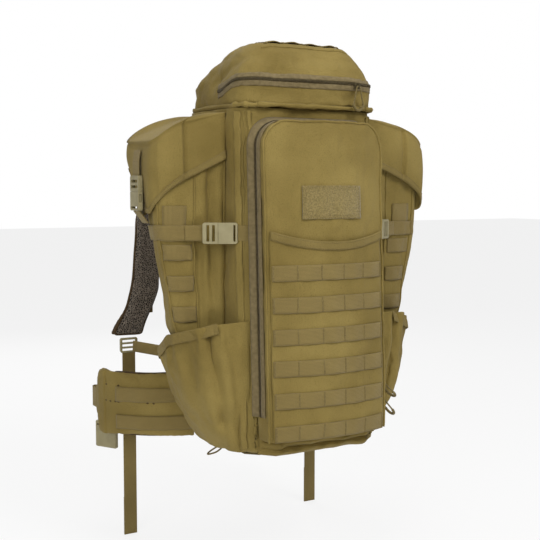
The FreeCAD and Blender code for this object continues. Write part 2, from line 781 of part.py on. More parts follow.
def buckle_plug(label):
    """The plug lies from its mouth face at X = 0 to its webbing end; its prongs point to -X."""
    made = new_body(label)
    side = "buckle_width / 2"
    base = polygon(
        made,
        label + "_outline",
        "XY_Plane",
        [
            ("0", "-" + side),
            ("plug_base - 3", "-" + side),
            ("plug_base", "2 - " + side),
            ("plug_base", side + " - 2"),
            ("plug_base - 3", side),
            ("0", side),
        ],
    )
    pad(made, label + "_base", base, "buckle_thick", midplane=True)
    room = side + " - buckle_wall - buckle_fit"
    for sign, name in (("-", "lower"), ("", "upper")):
        corners = [
            ("0.5", f"{sign}({room} - 4.2)"),
            ("0.5", f"{sign}({room})"),
            ("2 - prong_length", f"{sign}({room})"),
            ("-prong_length", f"{sign}({room} - 1.6)"),
            ("-prong_length", f"{sign}({room} - 3.2)"),
            ("6 - prong_length", f"{sign}({room} - 4.2)"),
        ]
        prong = polygon(made, f"{label}_{name}_prong", "XY_Plane", corners)
        pad(made, f"{label}_{name}_arm", prong, "buckle_thick - 2 * buckle_wall - 2 * buckle_fit", midplane=True)
    passage = polygon(
        made,
        label + "_passage",
        "XY_Plane",
        [
            ("-1", "-web_width / 2 - 0.4"),
            ("plug_base + 1", "-web_width / 2 - 0.4"),
            ("plug_base + 1", "web_width / 2 + 0.4"),
            ("-1", "web_width / 2 + 0.4"),
        ],
    )
    pocket(made, label + "_web_passage", passage, "web_thick + 0.8")
    for number, start in enumerate(("0.2 * plug_base", "0.56 * plug_base")):
        slot = polygon(
            made,
            f"{label}_slot_{number}",
            "XY_Plane",
            [
                (start, "-web_width / 2 - 0.4"),
                (start + " + 0.18 * plug_base", "-web_width / 2 - 0.4"),
                (start + " + 0.18 * plug_base", "web_width / 2 + 0.4"),
                (start, "web_width / 2 + 0.4"),
            ],
        )
        pocket(made, f"{label}_web_slot_{number}", slot, "buckle_thick + 2")
    doc.recompute()
    return made


# ---------------------------------------------------------------- compression straps
level = size.strap_level
front_here = -bag_corners(level)[0][1]
corner_x, corner_y = -bag_side + size.bag_corner, -front_here + size.bag_corner
seam_turn = math.radians(60)
sewn = Vector(
    corner_x - (size.bag_corner + web_mid + 0.25) * math.cos(seam_turn),
    corner_y - (size.bag_corner + web_mid + 0.25) * math.sin(seam_turn),
    level,
)
panel_from = Vector(-bag_side - 0.45 * size.wing_waist, -size.wing_front * 0.9 - 3, level)
panel_to = Vector(-bag_side - size.wing_waist, -size.wing_front * 0.9 + size.wing_turn, level)
panel_run = panel_to - panel_from
panel_out = Vector(panel_run.y, -panel_run.x, 0).normalize()
if panel_out.y > 0:
    panel_out = panel_out * -1
landing = panel_from + panel_run * 0.75 + panel_out * web_mid
strap_run = (landing - sewn).normalize()
strap_out = Vector(-strap_run.y, strap_run.x, 0)
if strap_out.y > 0:
    strap_out = strap_out * -1
up = Vector(0, 0, 1)
buckle_turn = Rotation(strap_run, up, strap_run.cross(up), "XYZ")
stub = size.bag_corner / 2
left_compression_socket = buckle_socket("left_compression_socket")
left_compression_socket.Placement = Placement(sewn + strap_run * stub, buckle_turn)
left_compression_plug = buckle_plug("left_compression_plug")
plug_at = sewn + strap_run * (stub + size.socket_length + size.seat_gap)
left_compression_plug.Placement = Placement(plug_at, buckle_turn)
right_compression_socket = mirrored("right_compression_socket", left_compression_socket)
right_compression_plug = mirrored("right_compression_plug", left_compression_plug)

wing_skin = wing_solid(size.seat_gap + size.web_thick, levels).cut(wing_solid(size.seat_gap, levels))
far = -bag_side - 2 * size.wing_reach
wrap = wing_skin.common(slab(far, landing.x, -200, size.wing_back - 24, level - half_web, level + half_web))
link = ribbon([plug_at + strap_run * (size.plug_base - 3), landing], size.web_thick, up * size.web_width)
sewn_end = ribbon([sewn, sewn + strap_run * (stub - size.seat_gap)], size.web_thick, up * size.web_width)
tab_low = [level - size.web_width - 6 - half_web - size.row_pitch * n for n in range(3)]
tab_skins = []
for low in tab_low + [level + half_web + 6]:
    tall = size.web_width if low < level else size.web_width - 4
    share = min(max((low - levels[2][0]) / (levels[3][0] - levels[2][0]), 0), 1)
    reach_here = size.wing_low + (size.wing_waist - size.wing_low) * share
    start = -bag_side - 0.47 * reach_here
    tab_skins.append(wing_skin.common(slab(start - size.tab_length, start, -200, 6, low, low + tall)))
left_wing_webbing = feature("left_wing_webbing", Part.makeCompound([wrap, link, sewn_end] + tab_skins))
right_wing_webbing = mirrored("right_wing_webbing", left_wing_webbing)

# ---------------------------------------------------------------- the flap's buckle and strap


def outer_x(shape, y, z):
    """The outermost x of a shape on the left, on the line at y and z."""
    line = Part.makeLine(Vector(-600, y, z), Vector(-bag_side + 1, y, z))
    return min(vertex.X for vertex in shape.common(line).Vertexes)


flap_strap_y = size.wing_turn
flap_skin = left_flap.Shape
buckle_low = size.hem_outer - 2
face_x = min(outer_x(flap_skin, flap_strap_y + dy, z) for dy in (-14, 14) for z in (buckle_low + 40, buckle_low + 80))
flap_buckle_x = face_x - size.seat_gap - size.buckle_thick / 2
down_turn = Rotation(Vector(0, 0, 1), Vector(0, 1, 0), Vector(-1, 0, 0), "XYZ")
socket_foot = Vector(flap_buckle_x, flap_strap_y, buckle_low)
left_flap_socket = buckle_socket("left_flap_socket")
left_flap_socket.Placement = Placement(socket_foot, down_turn)
right_flap_socket = mirrored("right_flap_socket", left_flap_socket)
plug_foot = socket_foot + up * (size.socket_length + size.seat_gap)
left_flap_plug = buckle_plug("left_flap_plug")
left_flap_plug.Placement = Placement(plug_foot, down_turn)
right_flap_plug = mirrored("right_flap_plug", left_flap_plug)
doc.recompute()
low_anchor_z = level + half_web + 3
low_face = min(outer_x(left_wing.Shape, flap_strap_y + dy, low_anchor_z) for dy in (-half_web, half_web))
anchor_low = ribbon(
    [
        Vector(low_face - web_mid - 0.5, flap_strap_y, low_anchor_z),
        Vector(flap_buckle_x, flap_strap_y, buckle_low - 2 * size.seat_gap),
    ],
    size.web_thick,
    Vector(0, size.web_width, 0),
)
left_flap_anchor = feature("left_flap_anchor", anchor_low)
right_flap_anchor = mirrored("right_flap_anchor", left_flap_anchor)
strap_top_z = plug_foot.z + size.plug_base + size.prong_length + 22
strap_top_x = min(outer_x(flap_skin, flap_strap_y + dy, strap_top_z) for dy in (-12, 12)) - web_mid - 0.3
left_flap_strap = feature(
    "left_flap_strap",
    ribbon(
        [
            Vector(flap_buckle_x, flap_strap_y, plug_foot.z + size.plug_base - 3),
            Vector(flap_buckle_x, flap_strap_y, plug_foot.z + size.plug_base + size.prong_length + 4),
            Vector(strap_top_x, flap_strap_y, strap_top_z),
        ],
        size.web_thick,
        Vector(0, size.web_width, 0),
    ),
)
right_flap_strap = mirrored("right_flap_strap", left_flap_strap)

# ---------------------------------------------------------------- back: base, frame, pads and yoke
base_panel = new_body("base_panel")
base_inset = "bag_corner / 2"
base_outline = polygon(
    base_panel,
    "base_panel_outline",
    "XY_Plane",
    [
        ("-bag_width / 2 + bag_corner", f"-bag_front_low + {base_inset}"),
        ("bag_width / 2 - bag_corner", f"-bag_front_low + {base_inset}"),
        (f"bag_width / 2 - {base_inset}", "-bag_front_low + bag_corner"),
        (f"bag_width / 2 - {base_inset}", "bag_back - bag_corner"),
        ("bag_width / 2 - bag_corner", f"bag_back - {base_inset}"),
        ("-bag_width / 2 + bag_corner", f"bag_back - {base_inset}"),
        (f"-bag_width / 2 + {base_inset}", "bag_back - bag_corner"),
        (f"-bag_width / 2 + {base_inset}", "-bag_front_low + bag_corner"),
    ],
    offset="-seat_gap - base_thick",
)
pad(base_panel, "base_panel_sheet", base_outline, "base_thick")

frame_sheet = new_body("frame_sheet")
sheet_foot = "bag_wall + 14"
half_sheet = "(bag_width / 2 - sheet_side)"
sheet_tall = "(bag_height - sheet_margin)"
sheet_outline = polygon(
    frame_sheet,
    "frame_sheet_outline",
    "XZ_Plane",
    [
        (f"-{half_sheet} + 16", sheet_foot),
        (f"{half_sheet} - 16", sheet_foot),
        (half_sheet, sheet_foot + " + 16"),
        (half_sheet, f"{sheet_foot} + {sheet_tall} - 30"),
        (f"{half_sheet} - 30", f"{sheet_foot} + {sheet_tall}"),
        (f"-{half_sheet} + 30", f"{sheet_foot} + {sheet_tall}"),
        (f"-{half_sheet}", f"{sheet_foot} + {sheet_tall} - 30"),
        (f"-{half_sheet}", sheet_foot + " + 16"),
    ],
    offset="seat_gap + sheet_thick / 2 + bag_wall - bag_back",
)
pad(frame_sheet, "frame_sheet_plate", sheet_outline, "sheet_thick", midplane=True)
stay_y = "bag_back - bag_wall - 2 * seat_gap - sheet_thick - stay_thick"
stays = [
    box(
        f"{name}_stay",
        "stay_width",
        "stay_thick",
        f"{sheet_tall} - 20",
        f"{sign}stay_spread - stay_width / 2",
        stay_y,
        "bag_wall + 24",
    )
    for name, sign in (("left", "-"), ("right", ""))
]
frame_stays = doc.addObject("Part::Compound", "frame_stays")
frame_stays.Label = "frame_stays"
frame_stays.Links = stays

behind = size.bag_back + size.seat_gap
pad_low, pad_high = size.lumbar_high + size.pad_space, harness_root - 22
pads = [
    soft_block(x0, x0 + size.pad_width, behind, behind + size.pad_thick, pad_low, pad_high, 5.0)
    for x0 in (-11 - size.pad_width, 11)
]
back_pads = feature("back_pads", Part.makeCompound(pads))
lumbar_pad = feature(
    "lumbar_pad",
    soft_block(-size.lumbar_width / 2, size.lumbar_width / 2, behind, behind + size.lumbar_thick, size.lumbar_low, size.lumbar_high, 9.0),
)
root_y = behind + 6
harness_yoke = feature(
    "harness_yoke",
    soft_block(
        -sheet_width / 2,
        sheet_width / 2,
        behind,
        behind + 9,
        pad_high + 1,
        harness_root - 2.5 - size.seat_gap,
        2.5,
    ),
)

# ---------------------------------------------------------------- the grab handle
leg_x = size.handle_span / 2 - half_web
roll = size.handle_roll / 2
handle_y = behind + roll
handle_top = size.bag_height + size.handle_rise
leg_low = size.bag_height - 62
crown = handle_top - roll - leg_x
spine = Part.Wire(
    [
        Part.makeLine(Vector(-leg_x, handle_y, leg_low + 30), Vector(-leg_x, handle_y, crown)),
        Part.Arc(
            Vector(-leg_x, handle_y, crown), Vector(0, handle_y, crown + leg_x), Vector(leg_x, handle_y, crown)
        ).toShape(),
        Part.makeLine(Vector(leg_x, handle_y, crown), Vector(leg_x, handle_y, leg_low + 30)),
    ]
)
ring = Part.Wire([Part.makeCircle(roll, Vector(-leg_x, handle_y, leg_low + 30), up)])
grip = spine.makePipeShell([ring], True, True)
legs = [
    slab(x - half_web, x + half_web, behind, behind + size.handle_thick, leg_low, leg_low + 44)
    for x in (-leg_x, leg_x)
]
grab_handle = feature("grab_handle", grip.fuse(legs).removeSplitter())

# ---------------------------------------------------------------- shoulder pads
out = size.harness_out
side_path = smooth(
    [
        Vector(0, root_y, harness_root),
        Vector(0, behind + 0.37 * out, harness_root + 25),
        Vector(0, behind + 0.72 * out, harness_root - 20),
        Vector(0, behind + 0.97 * out, harness_root - 0.292 * harness_hang),
        Vector(0, behind + 1.03 * out, harness_root - 0.585 * harness_hang),
        Vector(0, behind + 1.02 * out, harness_root - 0.863 * harness_hang),
        Vector(0, behind + 1.0 * out, harness_root - harness_hang),
    ],
    4,
)
thickness = [min(size.harness_pad, 5.0 + 1.4 * (p - side_path[0]).Length) for p in side_path]
side_slice = ribbon(side_path, thickness, Vector(4 * size.bag_width, 0, 0))
pad_centres = [
    (harness_root + 60, 76.0),
    (harness_root + 10, 84.0),
    (harness_root - 0.088 * harness_hang, 115.0),
    (harness_root - 0.205 * harness_hang, 146.0),
    (harness_root - 0.439 * harness_hang, 156.0),
    (harness_root - 0.702 * harness_hang, 163.0),
    (harness_root - 0.848 * harness_hang, 178.0),
    (harness_root - 0.965 * harness_hang, 198.0),
    (harness_root - 1.053 * harness_hang, 206.0),
]
centre_line = smooth([Vector(-x, 0, z) for z, x in pad_centres], 3)
half_pad = Vector(size.harness_width / 2, 0, 0)
pad_edges = [p - half_pad for p in centre_line] + [p + half_pad for p in centre_line[::-1]]
front_outline = prism(pad_edges, Vector(0, 4 * size.bag_back, 0))
left_shoulder_pad = feature("left_shoulder_pad", side_slice.common(front_outline))
right_shoulder_pad = mirrored("right_shoulder_pad", left_shoulder_pad)

lock_y = side_path[-1].y
lock_x = -199.0
lock_top = side_path[-1].z - size.seat_gap
lock_tall = 28.0
ladder_lock = new_body("left_ladder_lock")
half_lock = "buckle_width / 2"
lock_outline = polygon(
    ladder_lock,
    "ladder_lock_outline",
    "XZ_Plane",
    [
        (f"-{half_lock} + 3", "-28"),
        (f"{half_lock} - 3", "-28"),
        (half_lock, "-24"),
        (half_lock, "-3"),
        (f"{half_lock} - 2", "0"),
        (f"-{half_lock} + 2", "0"),
        (f"-{half_lock}", "-3"),
        (f"-{half_lock}", "-24"),
    ],
)
pad(ladder_lock, "ladder_lock_plate", lock_outline, "5", midplane=True)
for number, (low, high) in enumerate((("-8.5", "-4"), ("-16.5", "-12"), ("-24.5", "-20"))):
    slot = polygon(
        ladder_lock,
        f"ladder_lock_slot_{number}",
        "XZ_Plane",
        [
            ("-web_width / 2 - 0.4", low),
            ("web_width / 2 + 0.4", low),
            ("web_width / 2 + 0.4", high),
            ("-web_width / 2 - 0.4", high),
        ],
    )
    pocket(ladder_lock, f"ladder_lock_window_{number}", slot, "7")
ladder_lock.Placement = Placement(Vector(lock_x, lock_y, lock_top), Rotation())
right_ladder_lock = mirrored("right_ladder_lock", ladder_lock)
lock_low = lock_top - lock_tall

tail_top = lock_low - size.seat_gap
tail_end = tail_top - size.tail_length
tail = ribbon([Vector(lock_x, lock_y, tail_top), Vector(lock_x, lock_y, tail_end)], size.web_thick, Vector(size.web_width, 0, 0))
hem = ribbon(
    [Vector(lock_x, lock_y + size.web_thick, tail_end + 72), Vector(lock_x, lock_y + size.web_thick, tail_end)],
    size.web_thick,
    Vector(size.web_width, 0, 0),
)
left_tail = feature("left_tail", tail.fuse(hem).removeSplitter())
right_tail = mirrored("right_tail", left_tail)

belt_top = size.belt_low + size.belt_height
strap_foot = Vector(-bag_side + 18, behind + 1.0, belt_top + 24)
strap_head = Vector(lock_x + 7, lock_y - 3.6, lock_low + 12)
strap_line = (strap_head - strap_foot).normalize()
strap_wide = (up - strap_line * up.dot(strap_line)).normalize() * size.web_width
left_lower_strap = feature("left_lower_strap", ribbon([strap_foot, strap_head], size.web_thick, strap_wide * 0.8))
right_lower_strap = mirrored("right_lower_strap", left_lower_strap)

lift_x = -pad_centres[1][1]
pad_top = max(p.z for p in side_path) + size.harness_pad / 2
lift_foot = Vector(lift_x, behind + 0.52 * out, pad_top - 6)
over_pad = side_path[4] + Vector(0, 0, size.harness_pad / 2 + web_mid)
lift_path = [
    Vector(lift_x, behind + 0.5, pad_top + 23),
    Vector(lift_x, side_path[4].y + 6, pad_top + size.seat_gap + 1.4),
    Vector(lift_x, side_path[6].y, side_path[6].z + 0.86 * size.harness_pad),
]
left_load_lifter = feature("left_load_lifter", ribbon(lift_path, size.web_thick, Vector(0.75 * size.web_width, 0, 0)))
right_load_lifter = mirrored("right_load_lifter", left_load_lifter)

# sternum halves: a clip on the pad's outer face with a short webbing and half a buckle
clip_z = harness_root - 0.608 * harness_hang
clip_x = -158.0
clip_y = max(p.y for p in side_path) + size.harness_pad / 2 + size.seat_gap
clip = slab(clip_x - 15, clip_x + 15, clip_y, clip_y + 4, clip_z - 7, clip_z + 7)
drop = ribbon(
    [Vector(clip_x, clip_y + 1.6, clip_z - 7.3), Vector(clip_x, clip_y + 1.6, clip_z - 62)],
    size.web_thick,
    Vector(0.75 * size.web_width, 0, 0),
)
half_buckle = slab(clip_x - 13, clip_x + 13, clip_y, clip_y + 6, clip_z - 92, clip_z - 62.3)
half_buckle = half_buckle.makeFillet(1.5, half_buckle.Edges)
clip = clip.makeFillet(1.2, clip.Edges)
left_sternum_half = feature("left_sternum_half", Part.makeCompound([clip, drop, half_buckle]))
right_sternum_half = mirrored("right_sternum_half", left_sternum_half)

# ---------------------------------------------------------------- the hip belt
belt_root = Vector(-size.lumbar_width / 2 - 2, behind + 11, 0)
belt_path = smooth(
    [
        belt_root,
        Vector(-165, behind + 32, 0),
        Vector(-205, behind + 58, 0),
        Vector(-238, behind + 96, 0),
        Vector(-248, behind + 128, 0),
    ],
    4,
)
belt_mid = Vector(0, 0, size.belt_low + size.belt_height / 2)


def along_belt(points, thick, off, low, high):
    """A band along the belt's plan between two heights; off moves it to the outer face."""
    moved = []
    for i, point in enumerate(points):
        run = (points[min(i + 1, len(points) - 1)] - points[max(i - 1, 0)]).normalize()
        side = Vector(run.y, -run.x, 0)
        if side.x > 0:
            side = side * -1
        moved.append(point + side * off + Vector(0, 0, (low + high) / 2))
    return ribbon(moved, thick, up * (high - low))


belt_thickness = [min(size.belt_thick, 7.0 + 0.5 * (p - belt_path[0]).Length) for p in belt_path]
belt_pad = along_belt(belt_path, belt_thickness, 0, size.belt_low, belt_top)
row_off = size.belt_thick / 2 + web_mid
belt_rows = [
    along_belt(belt_path[5:], size.web_thick, row_off, low, low + size.web_width)
    for low in (size.belt_low + 18, size.belt_low + 18 + size.row_pitch)
]
belt_end = belt_path[-1]
web_low = belt_mid.z - size.belt_web / 2
link_path = [
    belt_end + Vector(0, size.seat_gap + 0.2, belt_mid.z),
    belt_end + Vector(-3, 26, belt_mid.z),
    belt_end + Vector(-3, 44, belt_mid.z),
    belt_end + Vector(3, 50, belt_mid.z),
    belt_end + Vector(9, 44, belt_mid.z),
    belt_end + Vector(15, 30, belt_mid.z),
]
belt_link = ribbon(link_path, size.web_thick, up * size.belt_web)
left_belt_wing = feature("left_belt_wing", Part.makeCompound([belt_pad] + belt_rows + [belt_link]))
right_belt_wing = mirrored("right_belt_wing", left_belt_wing)

hang_wide = Vector(0.5, -0.866, 0)
hang_at = belt_end + Vector(16, 24, web_low)
hang = ribbon(
    [hang_at + Vector(0, 0, -size.seat_gap), hang_at - up * (size.belt_drop - 50)], size.web_thick, hang_wide * size.belt_web
)
buckle_top = web_low - size.belt_drop + 50 - size.seat_gap
belt_turn = Rotation(hang_wide, up.cross(hang_wide), up, "XYZ")
half_belt_buckle = slab(-24, 24, -5, 5, -50, 0)
half_belt_buckle = half_belt_buckle.makeFillet(3.0, half_belt_buckle.Edges)
belt_slot = slab(-20, 20, -10, 10, -9, -5)
belt_mouth = slab(-19, 19, -3, 3, -60, -22)
half_belt_buckle = half_belt_buckle.cut(belt_slot).cut(belt_mouth)
half_belt_buckle.Placement = Placement(Vector(hang_at.x, hang_at.y, buckle_top), belt_turn)
left_belt_end = feature("left_belt_end", Part.makeCompound([hang, half_belt_buckle]))
right_belt_end = mirrored("right_belt_end", left_belt_end)

# ---------------------------------------------------------------- the lid's zip and webbing
zip_line = size.bag_height + size.seat_gap + size.lid_zip
lid_skin = lid_solid(-size.seat_gap - size.tape_thick).cut(lid_solid(-size.seat_gap))
under_zip = lid_skin.common(above_zip(-2 * size.seat_gap - size.chain_deep - 3)).cut(above_zip(-2 * size.seat_gap))
lid_zip_chain = feature(
    "lid_zip_chain",
    under_zip.common(slab(-size.lid_width, size.lid_width, -300, size.lid_fold - 8, size.bag_height, zip_line + 4)),
)

lid_top_z = size.bag_height + size.seat_gap + size.lid_height + size.seat_gap
lid_flat = size.lid_width / 2 - lid_levels[-1][1] - 12
strip_front = -size.lid_front + 0.8 * lid_levels[-1][1] + 3
lid_strips = [
    slab(-lid_flat, lid_flat, y, y + size.web_width, lid_top_z, lid_top_z + size.web_thick)
    for y in (strip_front, size.lid_fold - 3 - size.web_width)
]
lid_ladder_strips = feature("lid_ladder_strips", Part.makeCompound(lid_strips))

# ---------------------------------------------------------------- zip sliders and their cord pulls
# A slider lies flat on the chain: outwards is +X, the zip runs along Z.  Its fin carries the pull's eye.
fin_out = 6.0
fin_deep = 2.8
eye_room = 0.4


def slider_shape(hole_axis):
    """A slider whose fin has its eye along the given axis: across the zip (Y) or along it (Z)."""
    half, long = size.slider_width / 2, size.slider_length / 2
    outline = [
        Vector(0, -0.62 * half, -long),
        Vector(0, 0.62 * half, -long),
        Vector(0, half, -0.1 * long),
        Vector(0, half, long),
        Vector(0, 0.3 * half, long),
        Vector(0, 0, 0.6 * long),
        Vector(0, -0.3 * half, long),
        Vector(0, -half, long),
        Vector(0, -half, -0.1 * long),
    ]
    block = prism(outline, Vector(fin_deep, 0, 0))
    eye = size.cord_diameter / 2 + eye_room
    wide = (Vector(1, 1, 1) - hole_axis) * (eye + 1.6) + hole_axis
    fin = slab(fin_deep - 0.5, fin_deep + eye * 2 + 2.2, -wide.y, wide.y, -wide.z, wide.z)
    hole = Part.makeCylinder(eye, 8, Vector(fin_out, 0, 0) - hole_axis * 4, hole_axis)
    return block.fuse(fin).removeSplitter().cut(hole)


def bar(start, end, diameter):
    return Part.makeCylinder(diameter / 2, (end - start).Length, start, end - start)


def bent_bar(start, middle, end, diameter):
    arc = Part.Arc(start, middle, end).toShape()
    tangent = arc.tangentAt(arc.FirstParameter)
    ring = Part.Wire([Part.makeCircle(diameter / 2, start, tangent)])
    return Part.Wire([arc]).makePipeShell([ring], True, True)


def pull_shape():
    """A cord loop through the eye at the origin, hanging along -Z in the YZ plane, with a moulded grip round its end."""
    small, large = 3.4, size.pull_radius
    low = -size.pull_length + large
    cord = size.cord_diameter
    spread = math.asin((large - small) / (size.pull_length - large - small))
    top_y, top_z = small * math.cos(spread), -small + small * math.sin(spread)
    end_y, end_z = large * math.cos(spread), low + large * math.sin(spread)
    pieces = [bent_bar(Vector(0, -top_y, top_z), Vector(0, 0, 0), Vector(0, top_y, top_z), cord)]
    for side in (-1, 1):
        pieces.append(bar(Vector(0, side * top_y, top_z), Vector(0, side * end_y, end_z), cord))
    grip_ends = [Vector(0, side * end_y, end_z) for side in (-1, 1)]
    pieces.append(bent_bar(grip_ends[0], Vector(0, 0, low - large), grip_ends[1], size.grip_diameter))
    return pieces[0].fuse(pieces[1:]).removeSplitter()


def on_front_zip(height):
    """The place of a slider on the front pocket's right side, at a height over the pocket's lower edge."""
    out_from_wall = half_pocket + chain_out + size.seat_gap
    return leaning.multiply(Placement(Vector(out_from_wall, -chain_y - size.chain_deep / 2, height), Rotation()))


slider_low = tape_low + 20
slider_high = slider_low + 28
pull_rest = {"upper": 42.0, "lower": 36.0}
for name, height in (("upper", slider_high), ("lower", slider_low)):
    place = on_front_zip(height)
    feature(f"front_slider_{name}", slider_shape(Vector(0, 1, 0)), place)
    turn = Placement(Vector(fin_out, 0, 0), Rotation(Vector(0, 1, 0), -pull_rest[name]))
    feature(f"front_pull_{name}", pull_shape(), place.multiply(turn))

lid_slider_x = size.lid_width / 2 - size.lid_corner - 4
on_lid_zip = Placement(
    Vector(lid_slider_x, -size.lid_front - size.tape_thick - 2 * size.seat_gap, zip_line - 4),
    Rotation(Vector(0, -1, 0), Vector(0, 0, 1), Vector(-1, 0, 0), "XYZ"),
)
feature("lid_slider", slider_shape(Vector(0, 0, 1)), on_lid_zip)
hanging = Placement(
    on_lid_zip.multVec(Vector(fin_out, 0, 0)), Rotation(Vector(0, -1, 0), Vector(1, 0, 0), Vector(0, 0, 1), "XYZ")
)
feature("lid_pull", pull_shape(), hanging)

# ---------------------------------------------------------------- origin at the handle's hanging point, then the files
NODES = """
main_bag base_panel frame_sheet frame_stays back_pads lumbar_pad harness_yoke grab_handle
lid_base lid_zip_chain lid_cover lid_ladder_strips lid_slider lid_pull
left_wing right_wing left_wand_pocket right_wand_pocket left_wing_webbing right_wing_webbing
left_flap right_flap left_flap_strap right_flap_strap left_flap_plug right_flap_plug
left_flap_socket right_flap_socket left_flap_anchor right_flap_anchor left_compression_socket right_compression_socket
left_compression_plug right_compression_plug
front_pocket front_zip front_zip_inner_tape slip_pocket front_ladder_rows loop_patch
front_slider_upper front_slider_lower front_pull_upper front_pull_lower
left_shoulder_pad right_shoulder_pad left_ladder_lock right_ladder_lock left_tail right_tail
left_lower_strap right_lower_strap left_load_lifter right_load_lifter left_sternum_half right_sternum_half
left_belt_wing right_belt_wing left_belt_end right_belt_end
""".split()
hang_point = Vector(0, handle_y, handle_top - size.handle_roll)
by_label = {thing.Label: thing for thing in doc.Objects}
for node in NODES:
    thing = by_label[node]
    if thing.TypeId != "Part::Mirroring":
        thing.Placement = Placement(-hang_point, Rotation()).multiply(thing.Placement)
doc.recompute()

for thing in doc.Objects:
    assert not {"Invalid", "Error"} & set(thing.State), f"{thing.Label} failed to recompute"
for node in NODES:
    shape = by_label[node].Shape
    assert not shape.isNull() and shape.isValid() and shape.Volume > 0, f"{node} has no valid shape"

os.makedirs("parts", exist_ok=True)
for node in NODES:
    by_label[node].Shape.exportStep(f"parts/{node}.step")
print(len(NODES), "sub-parts written")
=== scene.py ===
import math

import bmesh
import bpy
from mathutils import Euler, Matrix, Vector, noise
from mathutils.bvhtree import BVHTree
from mathutils.geometry import interpolate_bezier


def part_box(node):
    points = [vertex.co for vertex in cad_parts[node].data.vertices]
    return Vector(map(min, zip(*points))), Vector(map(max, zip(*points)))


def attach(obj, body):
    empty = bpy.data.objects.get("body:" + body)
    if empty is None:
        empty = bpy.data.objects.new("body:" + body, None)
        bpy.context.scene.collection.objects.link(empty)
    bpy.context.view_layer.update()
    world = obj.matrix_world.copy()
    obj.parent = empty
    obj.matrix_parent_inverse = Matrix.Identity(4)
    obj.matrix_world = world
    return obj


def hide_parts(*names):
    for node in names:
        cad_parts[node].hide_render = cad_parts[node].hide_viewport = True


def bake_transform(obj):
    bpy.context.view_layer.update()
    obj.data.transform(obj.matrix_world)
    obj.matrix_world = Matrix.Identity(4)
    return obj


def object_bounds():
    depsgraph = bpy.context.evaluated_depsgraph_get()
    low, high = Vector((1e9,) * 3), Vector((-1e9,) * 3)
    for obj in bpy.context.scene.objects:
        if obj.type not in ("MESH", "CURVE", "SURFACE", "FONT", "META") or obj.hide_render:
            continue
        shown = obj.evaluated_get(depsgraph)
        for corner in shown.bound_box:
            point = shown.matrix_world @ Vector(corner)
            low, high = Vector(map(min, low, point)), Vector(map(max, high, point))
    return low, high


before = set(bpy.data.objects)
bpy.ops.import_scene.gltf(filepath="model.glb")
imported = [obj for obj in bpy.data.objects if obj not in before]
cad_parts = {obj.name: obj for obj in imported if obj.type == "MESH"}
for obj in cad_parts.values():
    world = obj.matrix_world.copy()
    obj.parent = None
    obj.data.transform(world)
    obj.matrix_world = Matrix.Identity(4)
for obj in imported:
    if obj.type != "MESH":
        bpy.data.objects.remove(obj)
cad_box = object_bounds()
scene = bpy.context.scene
scene.view_settings.view_transform = "Standard"

# ---- Studio: a white sweep and large soft lamps. The camera stands in front of the pack and to its left,
# a little above its middle, as in a catalogue.
camera_data = bpy.data.cameras.new("camera")
camera_data.sensor_width = 36.0
camera_data.lens = 66.7
camera = bpy.data.objects.new("camera", camera_data)
camera.location = (-0.892, -1.611, -0.165)
camera.rotation_euler = Euler((math.radians(85.26), 0.0, math.radians(-30.0)))
scene.collection.objects.link(camera)
scene.camera = camera

floor_level = cad_box[0].z - 0.001
sweep_mesh = bpy.data.meshes.new("studio_floor")
sweep = bmesh.new()
bmesh.ops.create_grid(sweep, x_segments=1, y_segments=1, size=14.0)
bmesh.ops.translate(sweep, verts=sweep.verts, vec=(0.0, 0.0, floor_level))
sweep.to_mesh(sweep_mesh)
sweep.free()
floor = bpy.data.objects.new("studio_floor", sweep_mesh)
scene.collection.objects.link(floor)
white = bpy.data.materials.new("white_floor")
white.use_nodes = True
tree = white.node_tree
diffuse = tree.nodes["Principled BSDF"]
diffuse.inputs["Base Color"].default_value = (0.9, 0.9, 0.9, 1.0)
diffuse.inputs["Roughness"].default_value = 0.9
glow = tree.nodes.new("ShaderNodeEmission")
seen = tree.nodes.new("ShaderNodeLightPath")
either = tree.nodes.new("ShaderNodeMath")
either.operation = "MAXIMUM"
tree.links.new(seen.outputs["Is Camera Ray"], either.inputs[0])
tree.links.new(seen.outputs["Is Glossy Ray"], either.inputs[1])
share = tree.nodes.new("ShaderNodeMath")
share.operation = "MULTIPLY"
share.inputs[1].default_value = 0.82
tree.links.new(either.outputs[0], share.inputs[0])
blend_white = tree.nodes.new("ShaderNodeMixShader")
tree.links.new(share.outputs[0], blend_white.inputs[0])
tree.links.new(diffuse.outputs[0], blend_white.inputs[1])
tree.links.new(glow.outputs[0], blend_white.inputs[2])
tree.links.new(blend_white.outputs[0], tree.nodes["Material Output"].inputs["Surface"])
sweep_mesh.materials.append(white)

world = bpy.data.worlds.new("studio_air")
scene.world = world
world.use_nodes = True
air = world.node_tree
light_air = air.nodes["Background"]
light_air.inputs["Color"].default_value = (1.0, 1.0, 1.0, 1.0)
light_air.inputs["Strength"].default_value = 0.34
white_air = air.nodes.new("ShaderNodeBackground")
white_air.inputs["Color"].default_value = (1.0, 1.0, 1.0, 1.0)
white_air.inputs["Strength"].default_value = 1.0
seen_air = air.nodes.new("ShaderNodeLightPath")
mixed_air = air.nodes.new("ShaderNodeMixShader")
air.links.new(seen_air.outputs["Is Camera Ray"], mixed_air.inputs[0])
air.links.new(light_air.outputs[0], mixed_air.inputs[1])
air.links.new(white_air.outputs[0], mixed_air.inputs[2])
air.links.new(mixed_air.outputs[0], air.nodes["World Output"].inputs["Surface"])


